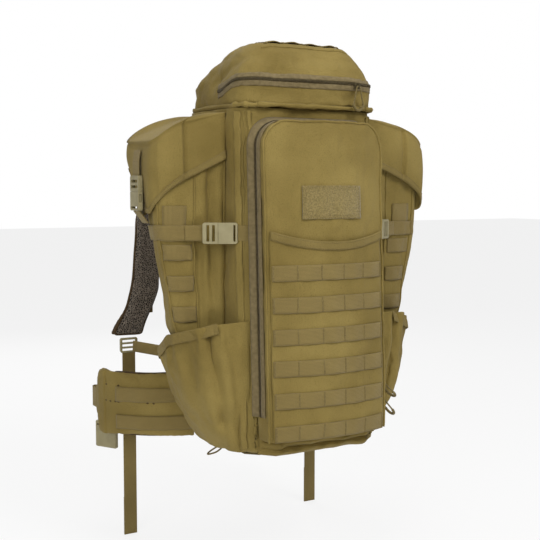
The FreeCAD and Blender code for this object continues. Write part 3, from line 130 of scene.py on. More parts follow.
def soft_lamp(name, place, size, power):
    """A square softbox that faces the pack."""
    data = bpy.data.lights.new(name, "AREA")
    data.size = size
    data.energy = power
    lamp = bpy.data.objects.new(name, data)
    lamp.location = place
    away = Vector(place) - Vector((0.0, -0.12, -0.33))
    lamp.rotation_euler = away.to_track_quat("Z", "Y").to_euler()
    scene.collection.objects.link(lamp)


soft_lamp("key_lamp", (0.5, -2.2, 1.5), 0.8, 28.0)
soft_lamp("fill_lamp", (-2.0, -1.8, 0.7), 1.2, 20.0)
soft_lamp("top_lamp", (-0.2, -0.4, 2.2), 1.0, 18.0)
soft_lamp("back_lamp", (0.4, 2.2, 0.7), 1.6, 14.0)

# ---- Bag body: a tall shell of coated nylon, lined and open at the top under the lid and at the front behind
# the pocket. Its front leans back, its corners are round and its sides crumple between the seams.
bag_low, bag_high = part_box("main_bag")
bag_back = 118.0
BAG = Vector((0.0, bag_high.y - bag_back / 1000, bag_low.z))


def at(x, y, z):
    """A place on the pack, in millimetres from the middle of its base."""
    return BAG + Vector((x, y, z)) / 1000


def pack_place(co):
    """A place in millimetres from the middle of the pack's base."""
    return (co - BAG) * 1000


def limited(value):
    """A value kept between 0 and 1."""
    return min(max(value, 0.0), 1.0)


def waver(x, y, z):
    """A soft irregular wave over three values, about -1 to 1."""
    return noise.noise(Vector((x, y, z)))


def arch(share):
    """A bulge that rises from 0 to 1 and falls again as a share runs from 0 to 1."""
    return math.sin(math.pi * share)


def paint(red, green, blue):
    """A dye as the shader wants it."""
    return [((c / 255 + 0.055) / 1.055) ** 2.4 if c > 10 else c / 3294 for c in (red, green, blue)] + [1.0]


def noise_node(tree, place, scale, detail):
    """Soft irregular specks; a larger scale makes them finer."""
    made = tree.nodes.new("ShaderNodeTexNoise")
    made.inputs["Scale"].default_value = scale
    made.inputs["Detail"].default_value = detail
    tree.links.new(place, made.inputs["Vector"])
    return made.outputs["Fac"]


def mixed_colour(tree, amount, first, second, low=0.3, high=0.7):
    """A colour between two, by an amount that is stretched between low and high."""
    spread = tree.nodes.new("ShaderNodeMapRange")
    spread.inputs["From Min"].default_value = low
    spread.inputs["From Max"].default_value = high
    tree.links.new(amount, spread.inputs["Value"])
    made = tree.nodes.new("ShaderNodeMix")
    made.data_type = "RGBA"
    tree.links.new(spread.outputs[0], made.inputs["Factor"])
    for source, target in ((first, made.inputs[6]), (second, made.inputs[7])):
        if isinstance(source, list):
            target.default_value = source
        else:
            tree.links.new(source, target)
    return made.outputs[2]


def ribs(tree, place, axis, pitch):
    """Fine ribs across an axis, one for each pitch."""
    made = tree.nodes.new("ShaderNodeTexWave")
    made.bands_direction = axis
    made.inputs["Scale"].default_value = 0.314 / pitch
    made.inputs["Distortion"].default_value = 0.0
    tree.links.new(place, made.inputs["Vector"])
    return made.outputs["Fac"]


def joined(tree, first, second, how):
    """Two values put together by a sum or a product."""
    made = tree.nodes.new("ShaderNodeMath")
    made.operation = how
    tree.links.new(first, made.inputs[0])
    if isinstance(second, float):
        made.inputs[1].default_value = second
    else:
        tree.links.new(second, made.inputs[1])
    return made.outputs[0]


def raised(tree, height, distance, under=None):
    """A relief from a height, laid over another one."""
    made = tree.nodes.new("ShaderNodeBump")
    made.inputs["Distance"].default_value = distance
    tree.links.new(height, made.inputs["Height"])
    if under:
        tree.links.new(under, made.inputs["Normal"])
    return made.outputs[0]


def finish(name, roughness, sheen=0.0):
    """A new material with its own surface, ready for its colour and relief."""
    made = bpy.data.materials.new(name)
    made.use_nodes = True
    surface = made.node_tree.nodes["Principled BSDF"]
    surface.inputs["Roughness"].default_value = roughness
    surface.inputs["Sheen Weight"].default_value = sheen
    surface.inputs["Sheen Roughness"].default_value = 0.45
    surface.inputs["Specular IOR Level"].default_value = 0.2
    place = made.node_tree.nodes.new("ShaderNodeTexCoord").outputs["Object"]
    return made, made.node_tree, surface, place


def speckled(name, roughness, specks, dark, light, relief=None, sheen=0.0, metallic=0.0):
    """A material whose one colour varies in specks, with a relief made from its tree and place."""
    made, tree, surface, place = finish(name, roughness, sheen)
    surface.inputs["Metallic"].default_value = metallic
    colour = mixed_colour(tree, noise_node(tree, place, *specks), paint(*dark), paint(*light))
    tree.links.new(colour, surface.inputs["Base Color"])
    if relief:
        tree.links.new(relief(tree, place), surface.inputs["Normal"])
    return made


def grained(scale, height):
    """A relief of fine grain."""
    return lambda tree, place: raised(tree, noise_node(tree, place, scale, 2.0), height)


def ribbed(axis, pitch, height):
    """A relief of fine ribs."""
    return lambda tree, place: raised(tree, ribs(tree, place, axis, pitch), height)


def dyed(names, material):
    """Gives the CAD meshes of some nodes a material."""
    for name in names:
        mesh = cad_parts[name].data
        mesh.materials.clear()
        mesh.materials.append(material)


def cordura(name, light, dark, pitch=0.0011, crumple=0.0011):
    """Coarse nylon: crossed yarns, heathered and faded in soft clouds, with small standing wrinkles."""
    made, tree, surface, place = finish(name, 0.74, 0.05)
    clouds = noise_node(tree, place, 9.0, 5.0)
    yarn = noise_node(tree, place, 850.0, 2.0)
    faded = mixed_colour(tree, clouds, dark, light, 0.32, 0.66)
    heather = mixed_colour(tree, yarn, [c * 0.72 for c in dark[:3]] + [1.0], faded, 0.22, 0.46)
    tree.links.new(heather, surface.inputs["Base Color"])
    weave = joined(tree, ribs(tree, place, "X", pitch), ribs(tree, place, "Z", pitch), "MULTIPLY")
    weave = joined(tree, weave, ribs(tree, place, "Y", pitch), "ADD")
    grain = raised(tree, weave, 0.00018)
    grain = raised(tree, yarn, 0.00035, grain)
    folds = raised(tree, noise_node(tree, place, 46.0, 4.0), crumple, grain)
    tree.links.new(folds, surface.inputs["Normal"])
    return made


shell_cloth = cordura("khaki_nylon", paint(154, 134, 74), paint(130, 111, 56))


def sewn_form(levels, steps=5):
    """A closed form skinned through plans at rising heights; a level is (height, corners, radii)."""
    form = bmesh.new()
    rims = []
    for height, corners, radii in levels:
        spots = [form.verts.new(at(x, y, height)) for x, y in corners]
        form.faces.new(spots)
        count = len(spots)
        for i, radius in enumerate(radii):
            before = at(*corners[i - 1], height) - at(*corners[i], height)
            after = at(*corners[(i + 1) % count], height) - at(*corners[i], height)
            reach = radius / 1000 / math.tan(before.angle(after) / 2)
            if radius:
                corner = [spots[i]]
                bmesh.ops.bevel(
                    form, geom=corner, offset=reach, segments=steps, profile=0.5, affect="VERTICES",
                    material=-1,
                )
        level = at(0, 0, height).z
        rims.append([f for f in form.faces if all(abs(v.co.z - level) < 1e-7 for v in f.verts)][0])
    for under, over in zip(rims, rims[1:]):
        bmesh.ops.bridge_loops(form, edges=list(under.edges) + list(over.edges))
    bmesh.ops.delete(form, geom=rims[1:-1], context="FACES_ONLY")
    bmesh.ops.recalc_face_normals(form, faces=form.faces)
    return form


def even_cloth(form, voxel=0.005, soften=2):
    """The same form as an even skin of small squares with its edges worn round."""
    mesh = bpy.data.meshes.new("rough_form")
    form.to_mesh(mesh)
    form.free()
    rough = bpy.data.objects.new("rough_form", mesh)
    scene.collection.objects.link(rough)
    grid = rough.modifiers.new("even", "REMESH")
    grid.mode = "VOXEL"
    grid.voxel_size = voxel
    bpy.context.view_layer.update()
    done = bpy.data.meshes.new_from_object(rough.evaluated_get(bpy.context.evaluated_depsgraph_get()))
    bpy.data.objects.remove(rough)
    skin = bmesh.new()
    skin.from_mesh(done)
    bpy.data.meshes.remove(done)
    for _ in range(soften):
        bmesh.ops.smooth_vert(
            skin, verts=skin.verts, factor=0.5, use_axis_x=True, use_axis_y=True, use_axis_z=True
        )
    return skin


def crumple(skin, amount, span, stretch=(1.0, 1.0, 1.0), seed=0.0, sharp=0.0, where=None):
    """Works soft irregular folds into cloth, as deep as amount and about as wide as span, in millimetres."""
    skin.normal_update()
    for vert in skin.verts:
        spot = Vector([c / k for c, k in zip(vert.co, stretch)]) * (1000 / span) + Vector((seed, seed, seed))
        wave = noise.noise(spot) + 0.5 * noise.noise(spot * 2.1) + 0.25 * noise.noise(spot * 4.3)
        fold = (1 - abs(noise.noise(spot * 0.8 + Vector((7.0, 3.0, 5.0))))) ** 6
        push = amount * (wave - sharp * fold)
        if where:
            push *= where(vert.co)
        vert.co += vert.normal * push / 1000


def fold(skin, start, end, depth, width):
    """Presses one long fold into cloth between two places; a negative depth raises a ridge."""
    skin.normal_update()
    cloth = BVHTree.FromBMesh(skin)
    start, end = cloth.find_nearest(start)[0], cloth.find_nearest(end)[0]
    run = end - start
    for vert in skin.verts:
        share = (vert.co - start).dot(run) / run.length_squared
        near = start + run * min(max(share, 0.0), 1.0)
        off = vert.co - near
        away = (off - vert.normal * off.dot(vert.normal)).length * 1000 / width
        if off.length > 0.04:
            continue
        if away < 3:
            ends = min(1.0, max(0.0, 4 * min(share + 0.12, 1.12 - share)))
            vert.co -= vert.normal * (depth / 1000) * math.exp(-away * away) * ends


def keep_side(skin, place, normal, clear=True):
    """Cuts cloth along a plane and keeps what lies behind it, or both sides without clear."""
    everything = [*skin.verts, *skin.edges, *skin.faces]
    bmesh.ops.bisect_plane(skin, geom=everything, plane_co=place, plane_no=normal, clear_outer=clear)


def piece(name, made, surface, body, nodes=(), wall=0.0, fine=0, blend=None):
    """Sews a mesh up as a piece that rides on its body and stands for its solids."""
    mesh = bpy.data.meshes.new(name)
    made.to_mesh(mesh)
    made.free()
    for one in surface if isinstance(surface, list) else [surface]:
        mesh.materials.append(one)
    mesh.shade_smooth()
    done = bpy.data.objects.new(name, mesh)
    scene.collection.objects.link(done)
    if wall:
        cloth_wall = done.modifiers.new("wall", "SOLIDIFY")
        cloth_wall.thickness = wall / 1000
        cloth_wall.offset = -1.0
        cloth_wall.use_even_offset = False
    if fine:
        smooth_skin = done.modifiers.new("smooth", "SUBSURF")
        smooth_skin.levels = fine
        smooth_skin.render_levels = fine
    if blend:
        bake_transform(done)
    else:
        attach(done, body)
    if nodes:
        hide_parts(*nodes)
    return done


def bag_plan(z, grow=0.0):
    """The bag's plan at a height."""
    front = 100.0 - 23.0 * z / 566.0
    half, front, back = 137 + grow, -front - grow, bag_back + grow
    return [(-half, front), (half, front), (half, back), (-half, back)]


bag_levels = ((1, -9), (4, -3), (12, 0), (290, 0), (566, 0))
bag_skin = even_cloth(sewn_form([(z, bag_plan(z, grow), [36] * 4) for z, grow in bag_levels]))
crumple(bag_skin, 3.0, 80, (1.0, 1.0, 2.6), 3.0, 0.9)
crumple(bag_skin, 1.5, 34, (1.0, 1.0, 2.0), 9.0, 0.7)
crumple(bag_skin, 3.0, 50, (1.6, 1.0, 0.8), 5.0, 0.6, lambda p: max(0.0, 1 - pack_place(p).z / 70))
crumple(bag_skin, 4.0, 55, (1.8, 1.0, 0.8), 15.0, 0.6, lambda p: limited((pack_place(p).z - 515) / 30))
keep_side(bag_skin, at(0, 0, 563), (0, 0, 1))
mouth_half, mouth_low, mouth_high = 94, 48, 500
for x in (-mouth_half, mouth_half):
    keep_side(bag_skin, at(x, 0, 0), (1, 0, 0), False)
for z in (mouth_low, mouth_high):
    keep_side(bag_skin, at(0, 0, z), (0, 0, 1), False)


def in_mouth(face):
    """Whether a face lies in the opening behind the front pocket."""
    spot = pack_place(face.calc_center_median())
    return abs(spot.x) < mouth_half and mouth_low < spot.z < mouth_high and spot.y < -40


bmesh.ops.delete(bag_skin, geom=[f for f in bag_skin.faces if in_mouth(f)], context="FACES")
bag_tree = BVHTree.FromBMesh(bag_skin)
piece("bag_body", bag_skin, shell_cloth, "root", ["main_bag"], wall=2.4)


def rounded_plan(corners, radii, steps=7):
    """An open plan whose inner corners are turned round."""
    line = [Vector(corners[0])]
    for before, corner, after, radius in zip(corners, corners[1:], corners[2:], radii[1:]):
        corner = Vector(corner)
        back_way = (Vector(before) - corner).normalized()
        on_way = (Vector(after) - corner).normalized()
        reach = radius / math.tan(back_way.angle(on_way) / 2)
        a, b = corner + back_way * reach, corner + on_way * reach
        for i in range(steps + 1):
            t = i / steps
            line.append(a * (1 - t) ** 2 + corner * 2 * t * (1 - t) + b * t * t)
    return line + [Vector(corners[-1])]


def walker(line):
    """A function that gives the place at a share of a line's length, and that length."""
    lengths = [0.0]
    for a, b in zip(line, line[1:]):
        lengths.append(lengths[-1] + (b - a).length)

    def place(share):
        goal = min(max(share, 0.0), 1.0) * lengths[-1]
        i = max(k for k in range(len(line) - 1) if lengths[k] <= goal + 1e-9)
        return line[i].lerp(line[i + 1], (goal - lengths[i]) / max(lengths[i + 1] - lengths[i], 1e-9))

    return place, lengths[-1]


def soft_line(points, steps=8):
    """A smooth line through points."""
    ends = [points[0]] + list(points) + [points[-1]]
    line = []
    for a, b, c, d in zip(ends, ends[1:], ends[2:], ends[3:]):
        line += interpolate_bezier(b, b + (c - a) / 6, c - (d - b) / 6, c, steps + 1)[:-1]
    return line + [points[-1]]


def tube(made, line, radius, sides=8, cyclic=False):
    """Adds a round cord along a line to a mesh."""
    curve = bpy.data.curves.new("cord_line", "CURVE")
    curve.dimensions = "3D"
    curve.bevel_depth = radius / 1000
    curve.bevel_resolution = max(sides // 4 - 1, 0)
    curve.use_fill_caps = True
    spline = curve.splines.new("POLY")
    spline.points.add(len(line) - 1)
    for spot, place in zip(spline.points, line):
        spot.co = (*place, 1.0)
    spline.use_cyclic_u = cyclic
    carrier = bpy.data.objects.new("cord_line", curve)
    scene.collection.objects.link(carrier)
    bpy.context.view_layer.update()
    mesh = bpy.data.meshes.new_from_object(carrier.evaluated_get(bpy.context.evaluated_depsgraph_get()))
    made.from_mesh(mesh)
    bpy.data.objects.remove(carrier)
    bpy.data.curves.remove(curve)
    bpy.data.meshes.remove(mesh)


def on_cloth(tree, places, lift=0.0):
    """The same places, moved onto the cloth nearest to them and off it by a lift."""
    found = []
    for place in places:
        spot, normal, _, _ = tree.find_nearest(place)
        found.append(spot + normal * lift / 1000)
    return found


def straight(start, end, step=8.0):
    """Places along a straight line, about a step apart in millimetres."""
    count = max(2, int((end - start).length * 1000 / step))
    return [start.lerp(end, i / count) for i in range(count + 1)]


def laid_cloth(made, across_count, along_count, place_of, thick, flat, outward):
    """Adds a strip whose points are placed by their shares across and along; flat is its size unrolled."""
    grid = bmesh.ops.create_grid(made, x_segments=across_count, y_segments=along_count, size=1.0)["verts"]
    shares = {v: ((v.co.x + 1) / 2, (v.co.y + 1) / 2) for v in grid}
    faces = list({f for v in grid for f in v.link_faces})
    layer = made.loops.layers.uv.verify()
    for face in faces:
        for loop in face.loops:
            across, along = shares[loop.vert]
            loop[layer].uv = (across * flat[0] / 1000, along * flat[1] / 1000)
    for vert, (across, along) in shares.items():
        vert.co = place_of(across, along)
    bmesh.ops.recalc_face_normals(made, faces=faces)
    backed(made, faces, thick, outward)


def backed(made, faces, thick, outward):
    """Turns a strip's face outward and gives it a back and closed edges."""
    made.normal_update()
    if sum(f.normal.dot(outward(f.calc_center_median())) for f in faces) < 0:
        bmesh.ops.reverse_faces(made, faces=faces)
    made.normal_update()
    rim = [loop for f in faces for loop in f.loops if loop.edge.is_boundary]
    ends = [(loop.vert, loop.link_loop_next.vert) for loop in rim]
    inward = {v: v.normal * thick / 1000 for f in faces for v in f.verts}
    twin = bmesh.ops.duplicate(made, geom=faces)
    under = {v: twin["vert_map"][v] for v in inward}
    for vert, step in inward.items():
        under[vert].co = vert.co - step
    bmesh.ops.reverse_faces(made, faces=[g for g in twin["geom"] if isinstance(g, bmesh.types.BMFace)])
    for first, second in ends:
        made.faces.new((second, first, under[first], under[second]))


def strip_on(made, tree, path, across, width, thick, lift=0.3, rows=6, bulge=None, shift=0.0):
    """Lays a strip on cloth along a path, with its width along a direction."""
    place, length = walker(path)

    def spot(share, along):
        hit, normal, _, _ = tree.find_nearest(place(along) + across * (((share - 0.5) * width + shift) / 1000))
        stand = lift + thick + (bulge(share, along) if bulge else 0.0)
        return hit + normal * stand / 1000

    rise = length * 1000
    columns = max(8, int(rise / 3))
    laid_cloth(made, rows, columns, spot, thick, (width, rise), lambda c: tree.find_nearest(c)[1])


UP, AHEAD = Vector((0, 0, 1)), Vector((0, -1, 0))
SIDES = ((-1, "left"), (1, "right"))
seams = bmesh.new()
for side in (-1, 1):
    for y in (-88, -30):
        tube(seams, on_cloth(bag_tree, straight(at(side * 137, y, 6), at(side * 137, y, 560)), 0.2), 1.1)
    tube(seams, on_cloth(bag_tree, straight(at(side * 126, 108, 6), at(side * 126, 108, 560)), 0.4), 1.8)
piece("bag_seams", seams, shell_cloth, "root")

side_tape = bmesh.new()
for side in (-1, 1):
    for x, y, width in ((137, -74, 15), (121, -99, 9)):
        rise = straight(at(side * x, y - 14, 8), at(side * x, y + 8, 558), 12)
        across = Vector((side * 0.3, 1, 0)) if x > 130 else Vector((1, 0, 0))
        strip_on(side_tape, bag_tree, rise, across, width, 2.2, 0.6)
piece("bag_side_tapes", side_tape, shell_cloth, "root")

foot = bmesh.new()


def foot_place(low, tall, stand, seed):
    """Places on the slack cloth at the bag's foot: a band between two heights that rolls and wrinkles."""

    def spot(across, along):
        x = -108 + 226 * along
        ends = min(1.0, along / 0.12, (1 - along) / 0.12)
        wrinkle = waver(along * 7, across * 1.5, seed) + 0.4 * waver(along * 17, across * 3, seed)
        tuck = arch(across) ** 0.7
        z = low + tall * (0.5 + (across - 0.5) * (0.6 + 0.4 * ends)) + 5.0 * waver(along * 5, seed, 1.0)
        return at(x, -88 - 14 * ends - (stand + 5.0 * wrinkle) * tuck * (0.3 + 0.7 * ends), z)

    return spot


for low, tall, stand, seed in ((-3, 19, 10.0, 2.0), (9, 20, 14.0, 6.0)):
    laid_cloth(foot, 14, 120, foot_place(low, tall, stand, seed), 2.0, (tall, 232), lambda c: AHEAD)
piece(
    "bag_foot_rolls", foot, shell_cloth, None,
    blend=("root", "front_pocket", at(0, -110, 4), at(0, -110, 27)),
)

# ---- Hidden stiffening: coated base panel under the bag, plastic frame sheet and aluminium stays in its back.
fine_grain = grained(900.0, 0.0001)
coated = speckled("coated_base", 0.5, (30.0, 4.0), (96, 84, 50), (116, 101, 60), grained(600.0, 0.0002))
frame_plastic = speckled("frame_plastic", 0.42, (60.0, 3.0), (30, 30, 31), (40, 40, 41), fine_grain)
aluminium = speckled(
    "brushed_aluminium", 0.34, (40.0, 3.0), (168, 170, 173), (190, 192, 195), ribbed("X", 0.0006, 0.00004),
    metallic=1.0,
)
dyed(["base_panel"], coated)
dyed(["frame_sheet"], frame_plastic)
dyed(["frame_stays"], aluminium)

# ---- Front pocket: a thin box with a swollen face, sewn from nylon round a side wall and open at its back.
# It leans with the bag's front, and a corded seam runs where its face meets the side wall.
lean = Matrix.Translation(at(0, -99.16, 28)) @ Matrix.Rotation(math.radians(-2.327), 4, "X")
pocket_half, pocket_tall, pocket_side, pocket_rise = 114.0, 512.0, 36.0, 24.0


def face_depth(x, z):
    """How far the pocket's face stands off its back, in millimetres, at a place of its leaning frame."""
    crown = pocket_rise * (1 - (x / pocket_half) ** 2)
    edge = min(1.0, max(0.0, (pocket_tall - z) / 46)) * min(1.0, max(0.0, (z + 12) / 40))
    spot = Vector((x / 62, 4.0, z / 74))
    slack = 2.6 * noise.noise(spot) + 1.2 * noise.noise(spot * 2.4)
    sag = 2.5 * math.sin(math.pi * min(max((z - 300) / 130, 0), 1)) * (1 - (x / pocket_half) ** 2)
    hem_pull = -2.0 * math.exp(-(((z - 312) / 16) ** 2))
    return pocket_side + crown * (0.72 + 0.28 * edge) + (slack + sag + hem_pull) * (0.35 + 0.65 * edge)


def pocket_outline(out):
    """The pocket's edge seen from the front, pushed out by a distance: up its left side, over and down."""
    half, radius = pocket_half + out, 42.0 + out
    top = pocket_tall + out
    line = [(-half, 0.0)]
    line += [(-half, z) for z in range(20, int(top - radius), 20)]
    middle = half - radius
    turns = [math.radians(turn) for turn in range(180, -1, -10)]
    line += [(-middle + radius * math.cos(a), top - radius + radius * math.sin(a)) for a in turns[:10]]
    line += [(x, top) for x in range(-60, 61, 20)]
    line += [(middle + radius * math.cos(a), top - radius + radius * math.sin(a)) for a in turns[9:]]
    line += [(half, z) for z in range(int(top - radius), 19, -20)]
    return line + [(half, 0.0)]


def leaning(x, deep, z):
    """A place of the pocket's leaning frame, in millimetres; deep is how far it stands off the back."""
    return lean @ Vector((x / 1000, -deep / 1000, z / 1000))


pocket_form = bmesh.new()
outline = pocket_outline(0.0)
back_face = pocket_form.faces.new([pocket_form.verts.new((x / 1000, 0, z / 1000)) for x, z in outline])
pushed = bmesh.ops.extrude_face_region(pocket_form, geom=[back_face])
bmesh.ops.translate(
    pocket_form, verts=[v for v in pushed["geom"] if isinstance(v, bmesh.types.BMVert)], vec=(0, -0.046, 0)
)
bmesh.ops.recalc_face_normals(pocket_form, faces=pocket_form.faces)
pocket_skin = even_cloth(pocket_form, 0.0045, 1)
for vert in pocket_skin.verts:
    x, z = vert.co.x * 1000, vert.co.z * 1000
    forward = min(max((-vert.co.y - 0.022) / 0.024, 0.0), 1.0)
    vert.co.y -= forward * (face_depth(x, z) - 46.0) / 1000
bmesh.ops.transform(pocket_skin, matrix=lean, verts=pocket_skin.verts)
crumple(pocket_skin, 1.8, 28, (1.0, 1.0, 1.8), 12.0, 0.7)
keep_side(pocket_skin, leaning(0, 1.5, 0), lean.to_3x3() @ Vector((0, 1, 0)))
pocket_tree = BVHTree.FromBMesh(pocket_skin)
piece("front_pocket_shell", pocket_skin, shell_cloth, "front_pocket", ["front_pocket"], wall=1.8, fine=1)
edge_seam = bmesh.new()
rim_line = [leaning(x * 0.985, face_depth(x * 0.97, z) - 1.5, min(z, pocket_tall - 2)) for x, z in outline]
tube(edge_seam, on_cloth(pocket_tree, soft_line(rim_line, 3), 0.9), 1.9)
piece("front_pocket_piping", edge_seam, shell_cloth, "front_pocket")

# ---- Slip pocket, ladder webbing and loop patch on the front pocket's face. The slip pocket is a second layer
# of nylon with a bound mouth that sags in the middle; six rows of webbing are tacked down every 38 mm.
web_cloth, tree, surface, _ = finish("khaki_webbing", 0.7, 0.15)
uv = tree.nodes.new("ShaderNodeUVMap").outputs["UV"]
fibre = noise_node(tree, uv, 900.0, 2.0)
bars = ribs(tree, uv, "Y", 0.0016)
twill = joined(tree, bars, ribs(tree, uv, "X", 0.0021), "MULTIPLY")
body_colour = mixed_colour(tree, noise_node(tree, uv, 14.0, 3.0), paint(142, 122, 70), paint(162, 141, 84))
tree.links.new(
    mixed_colour(tree, joined(tree, twill, fibre, "ADD"), paint(112, 97, 56), body_colour, 0.25, 0.95),
    surface.inputs["Base Color"],
)
tree.links.new(raised(tree, fibre, 0.0002, raised(tree, twill, 0.0005)), surface.inputs["Normal"])


def pocket_out(_):
    """The way that the front pocket's face looks."""
    return lean.to_3x3() @ AHEAD


def face_strip(made, x0, x1, z_of, off, thick, columns, rows, bulge=None):
    """A strip on the pocket's face between two sides; z_of gives its lower and upper edge at an x."""

    def spot(across, along):
        x = x0 + (x1 - x0) * along
        low, high = z_of(x)
        z = low + (high - low) * across
        lift = bulge(x, across) if bulge else 0.0
        return leaning(x, face_depth(x, z) + off + thick + lift, z)

    laid_cloth(made, columns, rows, spot, thick, (z_of(0)[1] - z_of(0)[0], x1 - x0), pocket_out)


def slip_mouth(x):
    """Height of the slip pocket's mouth over the pocket's lower edge."""
    return 337.0 - 17.0 * (1 - (x / 107) ** 2) - 4.0 * (x + 107) / 214


slip = bmesh.new()
face_strip(
    slip, -107, 107, lambda x: (0.5, slip_mouth(x)), 0.6, 1.2, 70, 60,
    lambda x, share: 1.8 * share**6 * (1 - (x / 107) ** 2) + 0.8 * waver(x / 22, 1, share * 9),
)
piece("slip_pocket_panel", slip, shell_cloth, "front_pocket", ["slip_pocket"])
hem = bmesh.new()
face_strip(
    hem, -107, 107, lambda x: (slip_mouth(x) - 14, slip_mouth(x) + 0.6), 1.9, 1.5, 6, 70,
    lambda x, share: 1.8 * (1 - (x / 107) ** 2) + 0.8 * arch(share) + 0.5 * waver(x / 14, 5, share * 2),
)
hem_cloth = cordura("binding_nylon", paint(150, 131, 76), paint(128, 110, 60), 0.0009, 0.0008)
piece("slip_pocket_hem", hem, hem_cloth, "front_pocket")

thread = speckled("khaki_thread", 0.6, (500.0, 1.0), (112, 96, 56), (138, 121, 76))
ladder = bmesh.new()
tacks = bmesh.new()
columns = [-105, -66, -24, 18, 60, 105]
web_wide, row_pitch = 25.4, 50.8
for number in range(6):
    row_low = 3.0 + row_pitch * number - (2.0 if number == 0 else 0.0)

    def row_edges(x, low=row_low, number=number):
        """Height of a row's lower and upper edge at an x."""
        drift = 1.1 * waver(x / 70, number * 2.3, 8.0)
        return low + drift, low + drift + web_wide

    def slack(x, share, number=number):
        """How far a row stands off between two of its tacks."""
        for left, right in zip(columns, columns[1:]):
            if left <= x <= right:
                part = (x - left) / (right - left)
                loose = 1.5 + 0.9 * waver(left / 20, number * 1.7, 3.0)
                return max(0.4, loose) * arch(part) ** 2
        return 0.0

    face_strip(ladder, -105, 105, row_edges, 2.0, 1.4, 6, 84, slack)
    for x in columns:
        x = min(max(x, -102.8), 102.8)
        low, high = row_edges(x)
        face_strip(
            tacks, x - 1.1, x + 1.1, lambda _, a=low + 1, b=high - 1: (a, b), 3.3, 0.7, 26, 4,
            lambda x, share: 0.25 * arch(share * 26),
        )
piece("front_ladder_webbing", ladder, web_cloth, "front_pocket", ["front_ladder_rows"])
piece("front_ladder_tacks", tacks, thread, "front_pocket")

loop_pile, tree, surface, place = finish("loop_pile", 0.95, 0.5)
tuft = noise_node(tree, place, 420.0, 4.0)
pile_colour = mixed_colour(tree, tuft, paint(118, 103, 60), paint(157, 139, 88))
tree.links.new(pile_colour, surface.inputs["Base Color"])
tree.links.new(raised(tree, tuft, 0.0016), surface.inputs["Normal"])
patch = bmesh.new()
patch_left, patch_right, patch_low, patch_high = -56, 55, 355, 408
face_strip(
    patch, patch_left, patch_right, lambda x: (patch_low, patch_high), 0.6, 1.9, 40, 60,
    lambda x, share: 0.3 * waver(x / 3, 1, share * 18),
)
piece("loop_patch_pile", patch, loop_pile, "front_pocket", ["loop_patch"])


def stitch_line(made, line, normal_of, length=2.6, gap=1.4, height=0.35, width=0.7):
    """Adds a row of single stitches along a line: small rounded blocks that lie on the cloth."""
    carried = 0.0
    for a, b in zip(line, line[1:]):
        run = (b - a).length * 1000
        along = (b - a).normalized()
        while carried < run:
            spot = a + along * carried / 1000
            normal = normal_of(spot)
            across = normal.cross(along).normalized()
            block = bmesh.ops.create_cube(made, size=1.0)["verts"]
            turn = Matrix((along, across, normal)).transposed().to_4x4()
            bmesh.ops.scale(made, vec=(length / 1000, width / 1000, height / 1000), verts=block)
            for vert in block:
                if vert.co.z > 0:
                    vert.co.x *= 0.7
            bmesh.ops.transform(made, matrix=Matrix.Translation(spot) @ turn, verts=block)
            carried += length + gap
        carried -= run


def on_face(points, off):
    """Places at a distance off the pocket's face."""
    return [leaning(x, face_depth(x, z) + off, z) for x, z in points]


pocket_stitches = bmesh.new()
for inset in (2.2, 5.0):
    left, right = patch_left + inset, patch_right - inset
    low, high = patch_low + inset, patch_high - inset
    box_line = [(left, low), (right, low), (right, high), (left, high)]
    ring = []
    for (xa, za), (xb, zb) in zip(box_line, box_line[1:] + box_line[:1]):
        ring += [(xa + (xb - xa) * k / 12, za + (zb - za) * k / 12) for k in range(12)]
    stitch_line(pocket_stitches, on_face(ring + [ring[0]], 2.7), pocket_out)
for drop in (2.0, 12.0):
    row = []
    for x in range(-104, 105, 8):
        z = slip_mouth(x) - drop
        row.append(leaning(x, face_depth(x, z) + 4.4 + 1.8 * (1 - (x / 107) ** 2), z))
    stitch_line(pocket_stitches, row, pocket_out)
piece("front_pocket_stitching", pocket_stitches, thread, "front_pocket")

# ---- Zip round the front pocket: a grey-brown tape on the bag and one on the pocket, joined by a nylon coil.
# It runs up one side, over the top and down the other; two sliders with cord pulls hang low on the right side.
tape_cloth, tree, surface, _ = finish("zip_tape", 0.8, 0.1)
uv = tree.nodes.new("ShaderNodeUVMap").outputs["UV"]
tape_yarn = joined(tree, ribs(tree, uv, "X", 0.0012), ribs(tree, uv, "Y", 0.0012), "MULTIPLY")
tree.links.new(
    mixed_colour(tree, noise_node(tree, uv, 120.0, 3.0), paint(118, 103, 70), paint(141, 125, 88)),
    surface.inputs["Base Color"],
)
tree.links.new(raised(tree, tape_yarn, 0.0003), surface.inputs["Normal"])
coil_nylon = speckled("zip_coil", 0.45, (300.0, 2.0), (70, 60, 40), (98, 86, 59), ribbed("Z", 0.0012, 0.0003))


def outline_tape(made, out, near, far, low, thick, flare=0.0):
    """A tape bent round the pocket's sides and top between two depths; its near edge flares outwards."""
    place, length = walker([Vector(spot) for spot in pocket_outline(out) if spot[1] >= low])
    turned = lean.to_3x3()

    def spot(across, along):
        x, z = place(along)
        ripple = 0.35 * waver(x / 25, across, z / 25)
        wide = 1 + (ripple + flare * (1 - across)) / pocket_half
        rise = 1 + flare * (1 - across) * max(0.0, (z - 420) / 100) / pocket_tall
        return leaning(x * wide, near + (far - near) * across, z * rise)

    laid_cloth(
        made, 4, 170, spot, thick, (far - near, length),
        lambda c: turned @ Vector((c.x, 0, max(0.0, c.z - leaning(0, 0, 400).z))),
    )


